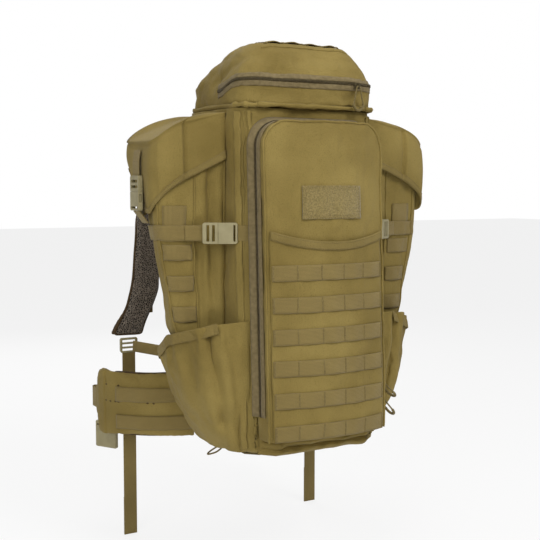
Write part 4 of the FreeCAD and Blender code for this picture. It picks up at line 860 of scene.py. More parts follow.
zip_foot = 29
coil_tooth = (1.0, 1.0, 1.7, 4.4)
outer_tape = bmesh.new()
outline_tape(outer_tape, 2.4, 1.5, 13.2, zip_foot, 1.0, 7.0)
piece("front_zip_tape", outer_tape, tape_cloth, "root", ["front_zip"])
coil = bmesh.new()
for deep in (14.1, 16.3):
    tube(coil, soft_line([leaning(x, deep, z) for x, z in pocket_outline(2.3) if z >= zip_foot], 3), 0.8, 8)
stitch_line(
    coil, soft_line([leaning(x, 15.2, z) for x, z in pocket_outline(2.2) if z >= zip_foot], 4),
    lambda p: (lean.to_3x3() @ Vector((p.x, 0, max(0.0, p.z - leaning(0, 0, 470).z) * 2))).normalized(),
    *coil_tooth,
)
piece("front_zip_coil", coil, coil_nylon, "root")
inner_tape = bmesh.new()
outline_tape(inner_tape, 1.9, 17.4, 30.0, zip_foot, 1.0)
piece("front_zip_inner_tape_cloth", inner_tape, tape_cloth, "front_pocket", ["front_zip_inner_tape"])

slider_metal = speckled(
    "painted_slider", 0.4, (700.0, 3.0), (74, 66, 46), (102, 92, 66), fine_grain, metallic=0.35
)
pull_cord, tree, surface, place = finish("pull_cord", 0.65, 0.1)
braid = joined(tree, ribs(tree, place, "Z", 0.0013), ribs(tree, place, "X", 0.0013), "ADD")
cord_colour = mixed_colour(tree, braid, paint(104, 90, 52), paint(148, 131, 84), 0.4, 1.6)
tree.links.new(cord_colour, surface.inputs["Base Color"])
tree.links.new(raised(tree, braid, 0.0003), surface.inputs["Normal"])
dyed(["front_slider_upper", "front_slider_lower", "lid_slider"], slider_metal)
dyed(["front_pull_upper", "front_pull_lower", "lid_pull"], pull_cord)

# ---- Lid: a domed pocket of nylon on the bag's top, tall in front and sloping to its back. Its zip runs
# across the front and down both sides, so the cover lifts about a fold on the top; webbing is sewn over it.
lid_foot, lid_tall, fold_place = 566.3, 106.0, 8


def lid_plan(level, back_share):
    """The lid's plan: it draws in with its level, and its back slopes forward with a share."""
    half = 132.0 - 1.15 * level
    back = 116.0 - back_share * 100.0
    return [(-half, -84 + 0.8 * level), (half, -84 + 0.8 * level), (half, back), (-half, back)]


def zip_height(y):
    """The zip's height on the lid at a depth: level across the front, lower along the sides."""
    high, low, lowest = 42.0, 27.6, 26.0
    if y < -50:
        return lid_foot + high
    if y < -18:
        return lid_foot + high - (y + 50) / 32 * (high - low)
    return lid_foot + low - (y + 18) / 26 * (low - lowest)


lid_levels = [(0.0, 0, 0.0), (0.4, 0, 0.0), (0.64, 9, 0.3), (0.86, 23, 0.66), (1.0, 38, 1.0)]
lid_form = []
for share, level, back in lid_levels:
    radius = min(38, 0.4 * (200 - 100 * back - 0.8 * level))
    lid_form.append((lid_foot + lid_tall * share, lid_plan(level, back), [radius] * 4))
lid_skin = even_cloth(sewn_form(lid_form), 0.0045, 4)
crumple(lid_skin, 3.2, 62, (1.6, 1.0, 1.0), 21.0, 0.9, lambda p: 1.0 if p.z < at(0, 0, 650).z else 0.5)
crumple(lid_skin, 1.4, 26, (1.0, 1.0, 1.0), 2.0, 0.7)
fold(lid_skin, at(-126, 30, 600), at(-104, -50, 640), 4.0, 9.0)
fold(lid_skin, at(-120, 90, 585), at(-60, 60, 640), 5.0, 12.0)
fold(lid_skin, at(-110, -84, 585), at(100, -84, 588), 2.5, 10.0)
fold(lid_skin, at(60, -85, 580), at(118, -70, 600), 3.0, 8.0)
keep_side(lid_skin, at(0, 0, lid_foot + 0.5), (0, 0, -1))


for vert in lid_skin.verts:
    spot = pack_place(vert.co)
    line = zip_height(spot.y)
    if spot.y < fold_place and abs(spot.z - line) < 2.4:
        vert.co.z = at(0, 0, line).z
    if spot.z > line - 2 and abs(spot.y - fold_place) < 2.4:
        vert.co.y = at(0, fold_place, 0).y
lid_tree = BVHTree.FromBMesh(lid_skin)
cover_skin = lid_skin.copy()


def in_cover(face):
    """Whether a face of the lid lifts with its cover."""
    spot = pack_place(face.calc_center_median())
    return spot.y < fold_place and spot.z > zip_height(spot.y)


bmesh.ops.delete(cover_skin, geom=[f for f in cover_skin.faces if not in_cover(f)], context="FACES")
bmesh.ops.delete(lid_skin, geom=[f for f in lid_skin.faces if in_cover(f)], context="FACES")
piece("lid_base_shell", lid_skin, shell_cloth, "root", ["lid_base"], wall=1.8, fine=1)
piece("lid_cover_shell", cover_skin, shell_cloth, "lid_cover", ["lid_cover"], wall=1.8, fine=1)


corner_run = [(-132, 0), (-132, -20), (-132, -46), (-126, -68), (-110, -80), (-90, -84)]
lid_path = [at(x, y, zip_height(y)) for x, y in corner_run + [(x, -84) for x in range(-70, 71, 20)]]
lid_path += [Vector((-p.x, p.y, p.z)) for p in lid_path[5::-1]]
for name, body, shift in (("lid_tape_upper", "lid_cover", 7.0), ("lid_tape_lower", "root", -7.0)):
    tape = bmesh.new()
    strip_on(tape, lid_tree, lid_path, UP, 9.0, 0.9, 0.2, 4, shift=shift)
    piece(name, tape, tape_cloth, body)
lid_coil = bmesh.new()
lid_coil_line = on_cloth(lid_tree, soft_line(lid_path, 4), 1.4)
for drop in (-1.1, 1.1):
    beside = [p + UP * drop / 1000 for p in soft_line(lid_path, 3)]
    tube(lid_coil, on_cloth(lid_tree, beside, 1.2), 0.8)
stitch_line(lid_coil, lid_coil_line, lambda p: lid_tree.find_nearest(p)[1], *coil_tooth)
piece("lid_coil", lid_coil, coil_nylon, "root", ["lid_zip_chain"])
lid_strips = bmesh.new()
lid_tacks = bmesh.new()
over_lid = lid_foot + lid_tall + 2
BACK = Vector((0, 1, 0))
for y in (-38, -8):
    path = [at(x, y, over_lid) for x in range(-72, 73, 4)]
    strip_on(
        lid_strips, lid_tree, path, BACK, web_wide, 1.4, 0.3, 6,
        lambda share, along: 2.2 * arch((along * 4) % 1.0) ** 2,
    )
    for x in (-70, -36, 0, 36, 70):
        strip_on(
            lid_tacks, lid_tree, [at(x - 1, y, over_lid), at(x + 1, y, over_lid)], BACK, 22.0, 0.6, 1.6, 20,
            lambda share, along: 0.25 * arch(share * 20),
        )
piece("lid_webbing", lid_strips, web_cloth, "lid_cover", ["lid_ladder_strips"])
piece("lid_webbing_tacks", lid_tacks, thread, "lid_cover")
lid_roll = bmesh.new()
roll_line = rounded_plan([(0, -83), (-131, -83), (-131, 116), (0, 116)], [0, 38, 38, 0])
roll_line = [(p.x, p.y) for p in roll_line] + [(-p.x, p.y) for p in roll_line[-2:0:-1]]
roll_line = [at(x, y, lid_foot + 1.0) for x, y in roll_line]
tube(lid_roll, soft_line(roll_line + [roll_line[0]], 6)[:-1], 4.6, 12, True)
crumple(lid_roll, 2.4, 12, (1.0, 1.0, 1.0), 4.0, 0.4)
piece("lid_foot_seam", lid_roll, shell_cloth, "root")
lid_seam = bmesh.new()
edge = [at(x, -84 + 0.8 * 30, lid_foot + lid_tall * 0.93) for x in range(-84, 85, 6)]
tube(lid_seam, on_cloth(lid_tree, edge, 0.3), 1.2)
piece("lid_front_seam", lid_seam, shell_cloth, "lid_cover")

# ---- Side wings: deep nylon pockets on the bag's sides, open at the top under their flaps, narrowing to the
# foot. A corded seam runs down each front corner, and the slack front gusset falls into upright folds.
wing_levels = [
    (66.0, 28.0, 14.0, 0.55), (154.8, 54.0, 37.8, 0.76), (196.0, 90.0, 57.6, 0.84), (362.0, 119.0, 82.1, 0.9),
    (498.0, 122.0, 112.2, 1.0),
]


wing_root = 137.3


def wing_plan(front, back, depth, grow=0.0, root=-wing_root):
    """Plan of the left wing; grow moves its outer faces outwards."""
    return [
        (root, -30 * depth - 3 - grow),
        (-137 - 0.45 * front - 0.3 * grow, -30 * depth - 3 - grow),
        (-137 - front - grow, -30 * depth + 11 - 0.5 * grow),
        (-137 - back - grow, 112 * depth - 12 + 0.6 * grow),
        (root, 112 * depth + grow),
    ]


def swell(side, out, y, z, fade_y=16.0):
    """How much further out the right side bulges near its front corner, where it is packed fuller."""
    if side < 0 or out < 0:
        return 0.0
    near = limited((fade_y - y) / 26)
    low = limited((520 - z) / 200)
    return (21.0 + 7.0 * low) * near * near * (3 - 2 * near) * min(out / 100, 1.0)


def side_cloth(form, side, fade_y, share):
    """The even cloth of a form on the left side, or turned over to the right, where it swells by a share."""
    skin = even_cloth(form, 0.0048)
    if side > 0:
        bmesh.ops.transform(skin, matrix=Matrix.Scale(-1, 4, (1, 0, 0)), verts=skin.verts)
        bmesh.ops.reverse_faces(skin, faces=skin.faces)
    for vert in skin.verts:
        x, y, z = pack_place(vert.co)
        vert.co.x += swell(side, x - wing_root, y, z, fade_y) * share / 1000
    return skin


def outside_bag(skin):
    """Trims a skin to the part that stands off the bag's own cloth."""
    inside = []
    for face in skin.faces:
        middle = face.calc_center_median()
        spot, normal, _, _ = bag_tree.find_nearest(middle)
        if (middle - spot).dot(normal) < -0.0015 or abs(middle.x) < 0.12:
            inside.append(face)
    bmesh.ops.delete(skin, geom=inside, context="FACES")


def reach_at(z):
    """The wing's front and back reach and its depth at a height."""
    for (z0, *low), (z1, *high) in zip(wing_levels, wing_levels[1:]):
        if z <= z1:
            part = max(0.0, (z - z0) / (z1 - z0))
            return [a + (b - a) * part for a, b in zip(low, high)]
    return wing_levels[-1][1:]


wing_trees = {}
for side, word in SIDES:
    form = sewn_form([(z, wing_plan(f, b, d, 0, -112), [0, 14, 24, 22, 0]) for z, f, b, d in wing_levels])
    skin = side_cloth(form, side, 16.0, 1.0)
    crumple(skin, 4.0, 76, (1.0, 1.0, 3.0), 31.0 + side, 1.0)
    crumple(skin, 1.8, 30, (1.0, 1.0, 2.2), 5.0 + side, 0.8)
    for x, top, low, depth, width in (
        (164, 480, 250, 7.0, 6.0), (150, 460, 200, -5.0, 8.0), (178, 470, 300, -4.0, 9.0),
        (186, 380, 170, 6.0, 6.5), (160, 230, 120, 6.0, 7.0),
    ):
        fold(skin, at(side * x, -40, top), at(side * (x - 8), -36, low), depth, width)
    for y, top, low in ((20, 470, 240), (60, 440, 220), (88, 400, 200)):
        fold(skin, at(side * 262, y, top), at(side * 240, y, low), 4.5, 10.0)
    keep_side(skin, at(0, 0, 494), (0, 0, 1))
    outside_bag(skin)
    wing_trees[side] = BVHTree.FromBMesh(skin)
    piece(f"{word}_wing_shell", skin, shell_cloth, "root", [f"{word}_wing"], wall=1.8, fine=1)
    cord = bmesh.new()
    for corner in (1, 2):
        line = []
        for z in range(90, 471, 15):
            x, y = wing_plan(*reach_at(z))[corner]
            line.append(at(side * -x, y, z))
        tube(cord, on_cloth(wing_trees[side], soft_line(line, 2), 0.6), 1.6)
    root_line = [at(side * 138, -30 * reach_at(z)[2] - 3, z) for z in range(70, 495, 17)]
    tube(cord, soft_line(root_line, 2), 1.9)
    piece(f"{word}_wing_piping", cord, shell_cloth, "root")

# ---- Hardware: moulded khaki plastic for side-release buckles and ladder locks, with worn edges, and copies
# of webbing solids with soft edges and a flat map for their weave.
moulded = speckled(
    "moulded_plastic", 0.42, (60.0, 3.0), (146, 136, 98), (160, 150, 112), grained(1400.0, 0.00006)
)
moulded.node_tree.nodes["Principled BSDF"].inputs["Specular IOR Level"].default_value = 0.5


def solids_of(nodes, keep=None):
    """The merged solids of some nodes, all of them or those whose middle passes a test."""
    made = bmesh.new()
    for node in nodes:
        made.from_mesh(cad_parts[node].data)
    bmesh.ops.remove_doubles(made, verts=made.verts, dist=0.00001)
    left = set(made.verts) if keep else set()
    while left:
        island, ends = set(), [left.pop()]
        while ends:
            vert = ends.pop()
            island.add(vert)
            for near in (e.other_vert(vert) for e in vert.link_edges):
                if near in left:
                    left.discard(near)
                    ends.append(near)
        middle = sum((v.co for v in island), Vector()) / len(island)
        if not keep(middle):
            bmesh.ops.delete(made, geom=list(island), context="VERTS")
    return made


def softened(nodes, edge=0.5, keep=None):
    """Copies of solids with their facets joined, their edges worn round and a flat map along their faces."""
    made = solids_of(nodes, keep)
    bmesh.ops.dissolve_limit(made, angle_limit=math.radians(4), verts=made.verts, edges=made.edges)
    corners = [e for e in made.edges if len(e.link_faces) == 2 and e.calc_face_angle(0.0) > 0.6]
    bmesh.ops.bevel(
        made, geom=corners, offset=edge / 1000, segments=2, profile=0.5, affect="EDGES", clamp_overlap=True,
        material=-1,
    )
    made.normal_update()
    layer = made.loops.layers.uv.verify()
    for face in made.faces:
        along = Vector((0, 0, 1)).cross(face.normal)
        along = along.normalized() if along.length > 0.3 else Vector((1, 0, 0))
        up = face.normal.cross(along)
        for loop in face.loops:
            loop[layer].uv = (loop.vert.co.dot(up), loop.vert.co.dot(along))
    return made


def hard_piece(name, made, surface, body, nodes, blend=None):
    """A piece with worn edges whose flat faces stay flat in the light."""
    done = piece(name, made, surface, body, nodes, blend=blend)
    done.data.set_sharp_from_angle(angle=math.radians(50))
    even_light = done.modifiers.new("even_light", "WEIGHTED_NORMAL")
    even_light.keep_sharp = True
    return done


for _, word in SIDES:
    for what, body in (
        ("compression_socket", "root"), ("compression_plug", f"{word}_compression_plug"),
        ("flap_socket", f"{word}_flap"), ("flap_plug", f"{word}_flap_plug"),
        ("ladder_lock", f"{word}_shoulder"),
    ):
        node = f"{word}_{what}"
        hard_piece(f"{node}_moulding", softened([node], 0.45), moulded, body, [node])

# ---- Webbing on the wings: the compression strap round each wing, three tabs under it and an upright end over
# it, all laid on the cloth and tacked down at their ends.
strap_level = 362
for side, word in SIDES:
    wing_tree = wing_trees[side]
    webs = bmesh.new()
    plan = wing_plan(*reach_at(strap_level), 1.0)
    path = []
    for (xa, ya), (xb, yb) in zip(plan[1:], plan[2:]):
        for part in (k / 16 for k in range(16)):
            path.append(at(side * -(xa + (xb - xa) * part), ya + (yb - ya) * part, strap_level))
    strip_on(webs, wing_tree, path[3:-3], UP, web_wide, 1.5, 1.9)
    near_plug = at(side * 179, -45.0, strap_level)
    on_wing = on_cloth(wing_tree, [path[4]], 4.6)[0]
    bridge = bmesh.new()
    laid_cloth(
        bridge, 6, 20,
        lambda share, along: near_plug.lerp(on_wing, along) + UP * (share - 0.5) * web_wide / 1000,
        1.5, (web_wide, (on_wing - near_plug).length * 1000), lambda c: AHEAD,
    )
    piece(
        f"{word}_bridge_web", bridge, web_cloth, None,
        blend=("root", f"{word}_compression_plug", tuple(on_wing), tuple(near_plug)),
    )
    for z in (330.6, 279.8, 229.0):
        (xa, ya), (xb, yb) = wing_plan(*reach_at(z))[1:3]
        ends = [at(side * -(xa + (xb - xa) * s), ya + (yb - ya) * s, z) for s in (0.1, 0.92)]
        strip_on(
            webs, wing_tree, straight(*ends, 4), UP, web_wide, 1.4, 0.4, 6,
            lambda share, along: 1.6 * arch(along) ** 2,
        )
    (xa, ya), (xb, yb) = wing_plan(*reach_at(390))[1:3]
    across = (at(side * -xb, yb, 0) - at(side * -xa, ya, 0)).normalized()
    middle = at(side * -(xa + xb) / 2, (ya + yb) / 2, 0)
    upright = [middle + UP * z / 1000 for z in range(350, 409, 4)]
    strip_on(webs, wing_tree, upright, across, 40.0, 1.4, 0.3)
    piece(f"{word}_wing_webs", webs, web_cloth, "root", [f"{word}_wing_webbing"])
    loops = softened(
        [f"{word}_wing_webbing"], 0.4,
        lambda c: abs(c.z - at(0, 0, strap_level).z) < 0.02 and abs(c.x) < 0.196 and c.y < at(0, -20, 0).y,
    )
    hard_piece(f"{word}_strap_ends", loops, web_cloth, "root", [])

# ---- Flaps: stiffened nylon covers that rise from the bag's edge over each wing's mouth and fall down its
# front, side and back. The hem is turned twice and stitched, curves down to a tongue under the buckle, and a
# deep pleat stands at the front.
flap_root, roof_share = 556.5, 0.3
flap_radii = [0, 22, 26, 24, 0]
high_plan, flap_round = walker(rounded_plan(wing_plan(121, 118, 1.02, 4.4), flap_radii))
low_plan, _ = walker(rounded_plan(wing_plan(118, 100, 1.0, 4.4), flap_radii))


def hem_height(x, y, share):
    """Height of the flap's hem: high at the bag, falling to a tongue on the outer side."""
    out = -wing_root - x
    if share < 0.55 and y < 28:
        height = 482 - 0.46 * out - 16 * limited((out - 62) / 66) ** 2
        return height - 24 * (limited((out - 104) / 26) * limited((y + 34) / 36)) ** 1.4
    past = limited((y - 58) / 34)
    return 390 + 70 * past * past * (3 - 2 * past)


def flap_point(side, along, across, lift=0.0):
    """A place of the flap: across runs from the hinge over the roof and down the wall to the hem."""
    edge = high_plan(along)
    out = -wing_root - edge.x
    rim = flap_root - 0.2 * out - 25 * limited((out - 78) / 50) ** 1.6
    root_y = -30 + 142 * along
    bottom = hem_height(edge.x, edge.y, along)
    if across < roof_share:
        part = across / roof_share
        x = -138.8 + (edge.x + 138.8) * part
        y = root_y + (edge.y - root_y) * part
        rise = 18.0 * part * (1 - part) - 3.0 * part**8
        z = flap_root + (rim - flap_root) * part + rise * min(out / 60, 1)
    else:
        part = (across - roof_share) / (1 - roof_share)
        z = rim - 3.0 * min(out / 60, 1) + (bottom - rim + 3.0 * min(out / 60, 1)) * part
        lower = low_plan(along)
        sink = limited((540 - z) / 180)
        x = edge.x + (lower.x - edge.x) * sink
        y = edge.y + (lower.y - edge.y) * sink
        belly = 4.0 * arch(part) * min(out / 50, 1)
        curve = -3.0 * math.exp(-((part / 0.07) ** 2)) * min(out / 50, 1)
        middle = Vector((-190.0, 40.0))
        away = (Vector((x, y)) - middle).normalized() * (belly + curve + lift)
        x, y = x + away.x, y + away.y
    if across < roof_share:
        z += lift
    spot = Vector((x / 60, y / 60, z / 90 + side))
    slack = 2.6 * noise.noise(spot) + 1.2 * noise.noise(spot * 2.3)
    if out > 4:
        x -= slack * 0.6 * min(out / 60, 1)
        y -= slack * 0.7
    over = out - 76
    if edge.y < -20 and across > roof_share * 0.6:
        fade = min(1.0, (across - roof_share * 0.6) / 0.2) * min(1.0, (1.02 - across) / 0.12)
        y += fade * (3.0 * math.exp(-((over + 3.5) ** 2) / 6) - 2.6 * math.tanh(over / 1.1))
    x -= swell(side, -wing_root - x, y, z)
    return at(x if side < 0 else -x, y, z)


def over_hem(side, along, rise, lift):
    """A place on the flap's wall at a rise over its hem."""
    edge = high_plan(along)
    return flap_point(side, along, 1.0 - 0.7 * rise / max(60.0, 545 - hem_height(edge.x, edge.y, along)), lift)


hem_wide = 12.0
for side, word in SIDES:
    skin = bmesh.new()
    inside = at(side * 190, 40, 440)
    laid_cloth(
        skin, 64, 170, lambda across, along: flap_point(side, along, across), 1.6, (250, flap_round),
        lambda c: c - inside,
    )
    flap_tree = BVHTree.FromBMesh(skin)
    piece(f"{word}_flap_cloth", skin, shell_cloth, f"{word}_flap", [f"{word}_flap"])
    band = bmesh.new()
    laid_cloth(
        band, 5, 170, lambda across, along: over_hem(side, along, hem_wide * across, 1.3 + 0.3 * arch(across)),
        1.4, (hem_wide, flap_round), lambda c: c - inside,
    )
    piece(f"{word}_flap_hem", band, hem_cloth, f"{word}_flap")
    rows = bmesh.new()
    for rise in (3.0, 10.5):
        line = [over_hem(side, 0.01 + 0.98 * k / 140, rise, 1.7) for k in range(141)]
        stitch_line(rows, line, lambda p: flap_tree.find_nearest(p)[1])
    piece(f"{word}_flap_stitching", rows, thread, f"{word}_flap")
    strap = softened([f"{word}_flap_strap"], 0.4)
    hard_piece(f"{word}_flap_strap_web", strap, web_cloth, f"{word}_flap", [f"{word}_flap_strap"])
    anchor = softened([f"{word}_flap_anchor"], 0.3)
    long_edges = [e for e in anchor.edges if e.calc_length() > 0.012]
    bmesh.ops.subdivide_edges(anchor, edges=long_edges, cuts=3, use_grid_fill=True)
    low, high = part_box(f"{word}_flap_anchor")
    middle = (low + high) / 2
    piece(
        f"{word}_flap_anchor_web", anchor, web_cloth, None, [f"{word}_flap_anchor"],
        blend=("root", f"{word}_flap", (middle.x, middle.y, low.z), (middle.x, middle.y, high.z)),
    )

# ---- Wand pockets: slack nylon pockets at the foot of each side, gathered by an elastic hem that runs down
# from the front to the back. Deep folds fall from the hem.
wand_levels = [
    (1.0, 0.12, 0.12, 0.78, 0.72), (36.2, 0.42, 0.3, 0.86, 0.8), (85.9, 0.74, 0.48, 0.92, 0.88),
    (140.1, 0.92, 0.64, 0.96, 0.94), (286.0, 1.0, 0.78, 0.98, 0.98),
]


def wand_plan(z, front_share, back_share, front_depth, back_depth):
    """Plan of the left wand pocket at a height, from shares of its full reach and depth."""
    front = -(100.0 - 23.0 * z / 566.0) * front_depth
    back = 112 * back_depth
    return [
        (-112, front), (-137 - 44.5 * front_share, front + 4 + 14 * front_share),
        (-137 - 106 * front_share, -20 + 10 * front_share), (-137 - 106 * back_share, back - 14), (-112, back),
    ]


for side, word in SIDES:
    form = sewn_form([(level[0], wand_plan(*level), [0, 22, 30, 24, 0]) for level in wand_levels])
    skin = side_cloth(form, side, 60.0, 0.8)
    crumple(skin, 4.2, 70, (1.0, 1.0, 2.4), 41.0 + side, 1.0)
    crumple(skin, 1.9, 28, (1.0, 1.0, 2.0), 13.0 + side, 0.8)
    for x, y, top, low, depth, width in (
        (190, -72, 232, 40, 11.0, 7.0), (203, -62, 225, 60, -6.0, 12.0), (172, -86, 225, 70, -5.0, 11.0),
        (156, -95, 215, 20, 5.0, 9.0), (226, -40, 205, 110, 5.0, 9.0), (246, -10, 190, 80, 5.0, 10.0),
        (236, 40, 175, 60, 5.0, 12.0), (222, 80, 160, 70, 4.0, 9.0),
    ):
        fold(skin, at(side * x, y, top), at(side * (x * 0.86), y, low), depth, width)
    for x, y in (
        (150, -98), (162, -94), (182, -80), (198, -64), (212, -54), (232, -34), (246, -12), (242, 24),
        (234, 60),
    ):
        mouth = 226 - (y + 100) * 0.358
        fold(skin, at(side * x, y, mouth - 10), at(side * (x - 5), y, mouth - 44), 2.6, 4.5)
    mouth_up = Vector((0, 0.3375, 0.9413))
    keep_side(skin, at(0, -100, 226), mouth_up)
    outside_bag(skin)
    wand_tree = BVHTree.FromBMesh(skin)
    piece(f"{word}_wand_cloth", skin, shell_cloth, "root", [f"{word}_wand_pocket"], wall=1.8, fine=1)
    top_plan = rounded_plan(wand_plan(200, 0.96, 0.7, 0.97, 0.96), [0, 22, 30, 24, 0], 8)
    path = [at(side * -spot.x, spot.y, 226 - 76 * (spot.y + 100) / 212) for spot in top_plan]
    path = soft_line(path[1:-1], 3)
    band = bmesh.new()
    held = on_cloth(wand_tree, [p - mouth_up * 0.009 for p in path[1:-1]])
    for _ in range(3):
        held[1:-1] = [(a + b * 2 + c) / 4 for a, b, c in zip(held, held[1:], held[2:])]
    place, length = walker(held)

    def hem_at(share, along):
        """A place of the gathered hem round the mouth."""
        run = (place(along + 0.02) - place(along - 0.02)).normalized()
        normal = run.cross(mouth_up).normalized()
        if normal.dot(place(along) - at(side * 137, 20, 150)) < 0:
            normal = -normal
        gather = 0.9 * arch(share) + 0.9 * waver(along * 60, share * 2, 3.0)
        return place(along) + mouth_up * (share - 0.5) * 0.018 + normal * (2.2 + gather) / 1000

    laid_cloth(band, 8, 130, hem_at, 1.3, (18, length * 1000), lambda c: wand_tree.find_nearest(c)[1])
    piece(f"{word}_wand_hem", band, hem_cloth, "root")
    rows = bmesh.new()
    lowered = [p - UP * 0.0135 for p in path]
    stitch_line(rows, on_cloth(wand_tree, lowered, 2.3), lambda p: wand_tree.find_nearest(p)[1])
    piece(f"{word}_wand_stitching", rows, thread, "root")

# ---- Shoulder straps: foam pads with an open mesh face towards the wearer, nylon outside and a dark binding
# round the edge. Ladder locks hang from their lower ends and take the webbing from the bag's foot.
spacer_mesh, tree, surface, place = finish("spacer_mesh", 0.9, 0.3)
cells = tree.nodes.new("ShaderNodeTexVoronoi")
cells.feature = "DISTANCE_TO_EDGE"
cells.inputs["Scale"].default_value = 300.0
tree.links.new(place, cells.inputs["Vector"])
# The cells between the strands are painted near black: painted shade in the openings of the mesh. Only the
# strands keep the mesh's own grey-beige.
tree.links.new(
    mixed_colour(tree, cells.outputs["Distance"], paint(128, 117, 104), paint(20, 18, 16), 0.07, 0.16),
    surface.inputs["Base Color"],
)
tree.links.new(raised(tree, cells.outputs["Distance"], 0.0012), surface.inputs["Normal"])
dark_binding = speckled(
    "dark_binding", 0.75, (500.0, 2.0), (64, 48, 27), (86, 67, 40), ribbed("Z", 0.001, 0.0003), sheen=0.1
)


def stuffed(node, voxel=0.005, cap=5.0, shrink=1.6, keep=None):
    """A copy of a pad as a closed skin that was blown up against its own seams, within a cap."""
    skin = even_cloth(solids_of([node], keep), voxel, 1)
    skin.normal_update()
    for vert in skin.verts:
        vert.co -= vert.normal * shrink / 1000
    mesh = bpy.data.meshes.new("pad_skin")
    skin.to_mesh(mesh)
    pad = bpy.data.objects.new("pad_skin", mesh)
    scene.collection.objects.link(pad)
    air_in = pad.modifiers.new("air", "CLOTH")
    air_in.settings.use_pressure = True
    air_in.settings.uniform_pressure_force = 4.0
    air_in.settings.quality = 5
    air_in.settings.effector_weights.gravity = 0.0
    air_in.point_cache.frame_start = 1
    air_in.point_cache.frame_end = 20
    for moment in range(1, 21):
        scene.frame_set(moment)
    swollen = bpy.data.meshes.new_from_object(pad.evaluated_get(bpy.context.evaluated_depsgraph_get()))
    for vert, moved in zip(skin.verts, swollen.vertices):
        step = moved.co - vert.co
        if step.length > cap / 1000:
            step *= cap / 1000 / step.length
        vert.co += step
    bpy.data.objects.remove(pad)
    bpy.data.meshes.remove(swollen)
    bpy.data.meshes.remove(mesh)
    scene.frame_set(1)
    return skin


def pad_faces(skin, node, test, keep=None):
    """Gives each face of a pad the material that a test picks from the normal of the solid under it."""
    solid = solids_of([node], keep)
    tree = BVHTree.FromBMesh(solid)
    for face in skin.faces:
        face.material_index = test(tree.find_nearest(face.calc_center_median())[1])
    solid.free()
    return skin


def edge_cord(skin, index, radius):
    """A bound edge: a cord along each border between a material of a pad and the rest of it."""
    cord = bmesh.new()
    border = {e for e in skin.edges if sum(f.material_index == index for f in e.link_faces) == 1}
    while border:
        edge = border.pop()
        line = [edge.verts[0], edge.verts[1]]
        while True:
            near = [e for e in line[-1].link_edges if e in border]
            if not near:
                break
            border.discard(near[0])
            line.append(near[0].other_vert(line[-1]))
        spots = [v.co.copy() for v in line]
        if len(spots) < 12:
            continue
        for _ in range(6):
            around = zip([spots[-1]] + spots, spots, spots[1:] + [spots[0]])
            spots = [(a + b * 2 + c) / 4 for a, b, c in around]
        tube(cord, spots[::2], radius, 8, True)
    return cord


def strap_side(normal):
    """Binding along the edges, mesh towards the wearer and nylon outside."""
    if abs(normal.x) > 0.6:
        return 2
    return 0 if normal.y < -0.1 or (abs(normal.y) <= 0.1 and normal.z < 0) else 1


for side, word in SIDES:
    node = f"{word}_shoulder_pad"
    pad = pad_faces(stuffed(node), node, strap_side)
    bound = edge_cord(pad, 0, 2.6)
    piece(f"{word}_shoulder_binding", bound, dark_binding, f"{word}_shoulder")
    cloths = [spacer_mesh, shell_cloth, dark_binding]
    done = piece(f"{word}_shoulder_foam", pad, cloths, f"{word}_shoulder", [node], fine=1)
    for node in (f"{word}_tail", f"{word}_sternum_half"):
        hard_piece(f"{node}_web", softened([node], 0.35), web_cloth, node, [node])
    for what in ("lower_strap", "load_lifter"):
        node = f"{word}_{what}"
        web = softened([node], 0.3)
        long_edges = [e for e in web.edges if e.calc_length() > 0.02]
        bmesh.ops.subdivide_edges(web, edges=long_edges, cuts=5, use_grid_fill=True)
        low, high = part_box(node)
        middle = (low + high) / 2
        piece(
            f"{node}_web", web, web_cloth, None, [node],
            blend=("root", f"{word}_shoulder", (middle.x, low.y, middle.z), (middle.x, high.y, middle.z)),
        )

# ---- Back: spacer mesh pads beside the spine, a lumbar pad, the yoke that the shoulder straps are sewn to,
# and a webbing grab handle.
for node, fill in (("back_pads", 0.6), ("lumbar_pad", 0.7)):
    pad = pad_faces(stuffed(node), node, lambda normal: 0 if normal.y > 0.5 else 1)
    piece(f"{node}_binding", edge_cord(pad, 0, 2.2), dark_binding, "root")
    done = piece(f"{node}_foam", pad, [spacer_mesh, shell_cloth], "root", [node], fine=1)
yoke = softened(["harness_yoke"], 1.0)
hard_piece("harness_yoke_cloth", yoke, shell_cloth, "root", ["harness_yoke"])
hard_piece("grab_handle_web", softened(["grab_handle"], 0.6), web_cloth, "root", ["grab_handle"])

# ---- Hip belt: padded wings that curve forward from the lumbar pad, with two rows of webbing outside, and at
# each end a loop of webbing with half a side-release buckle.
def belt_side(normal):
    """Mesh towards the wearer, binding along the edges and nylon outside."""
    if normal.y > 0.5:
        return 0
    return 2 if abs(normal.z) > 0.7 else 1


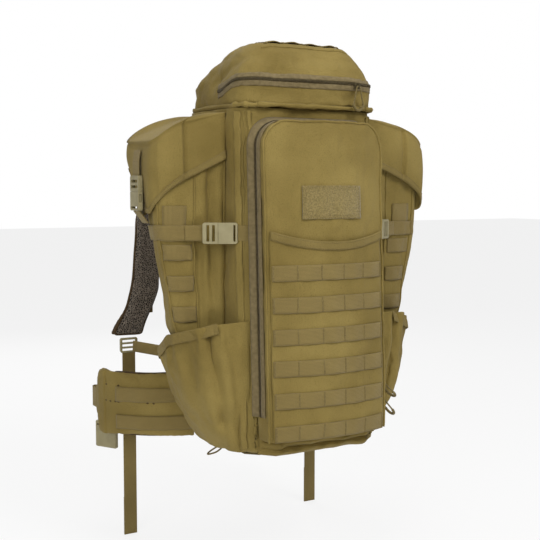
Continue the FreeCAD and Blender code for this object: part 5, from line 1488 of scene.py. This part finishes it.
for side, word in SIDES:
    node = f"{word}_belt_wing"

    def is_pad(c):
        """Whether a solid of the belt wing is its pad."""
        return abs(c.z - at(0, 0, 45).z) < 0.03 and c.y < at(0, 215, 0).y

    pad = stuffed(node, 0.005, 5.0, 1.8, is_pad)
    belt_tree = BVHTree.FromBMesh(pad)
    pad = pad_faces(pad, node, belt_side, is_pad)
    belt_cord = edge_cord(pad, 0, 2.2)
    done = piece(f"{node}_foam", pad, cloths, node, [node], fine=1)
    bend = ((118, 117), (165, 136.3), (205, 162.3), (238, 200.3))
    line = soft_line([at(side * x, y, 0) for x, y in bend], 8)
    webs = bmesh.new()
    for z in (12.7, 63.5):
        strip_on(
            webs, belt_tree, [p + UP * z / 1000 for p in line], UP, web_wide, 1.4, 0.3, 6,
            lambda share, along: 1.3 * arch((along * 3.6) % 1.0) ** 2,
        )
    piece(f"{node}_webs", webs, web_cloth, node)
    piece(f"{node}_binding", belt_cord, dark_binding, node)
    link = softened([node], 0.4, lambda c: c.y > at(0, 250, 0).y)
    hard_piece(f"{node}_link", link, web_cloth, node, [])
    sleeve = bmesh.new()
    rings = []
    for x, y, low, high, thick in (
        (252, 222, -15, 105, 13), (256, 243, -13, 103, 13), (252, 262, 14, 74, 8), (249, 276, 24, 66, 5),
    ):
        ring = [(x, low), (x, high), (x - thick, high), (x - thick, low)]
        rings.append([sleeve.verts.new(at(side * (across + 2), y, z)) for across, z in ring])
    for first, second in zip(rings, rings[1:]):
        for i in range(4):
            sleeve.faces.new((first[i], first[(i + 1) % 4], second[(i + 1) % 4], second[i]))
    sleeve.faces.new(rings[0])
    sleeve.faces.new(rings[-1])
    bmesh.ops.recalc_face_normals(sleeve, faces=sleeve.faces)
    sleeve = even_cloth(sleeve, 0.003, 3)
    crumple(sleeve, 0.8, 20, (1.0, 1.0, 1.0), 3.0, 0.4)
    piece(f"{node}_sleeve", sleeve, shell_cloth, node)
    node = f"{word}_belt_end"
    cloth = softened([node], 0.4, lambda c: c.z > at(0, 0, -4).z)
    hard_piece(f"{node}_web", cloth, web_cloth, node, [node])
    buckle = softened([node], 0.6, lambda c: c.z <= at(0, 0, -4).z)
    hard_piece(f"{node}_buckle", buckle, moulded, node, [node])

# ---- Foot loop: a short cord loop at the left foot of the bag, sewn into the seam at both ends.
loop_start, loop_end = at(-131, -16, 3), at(-133, -8, 3)
loop_line = soft_line([loop_start, at(-150, -24, -4), at(-163, -17, -8), at(-152, -8, -5), loop_end], 6)
foot_loop = bmesh.new()
tube(foot_loop, loop_line, 1.4, 8)
loop_done = piece("left_foot_loop", foot_loop, pull_cord, "root")
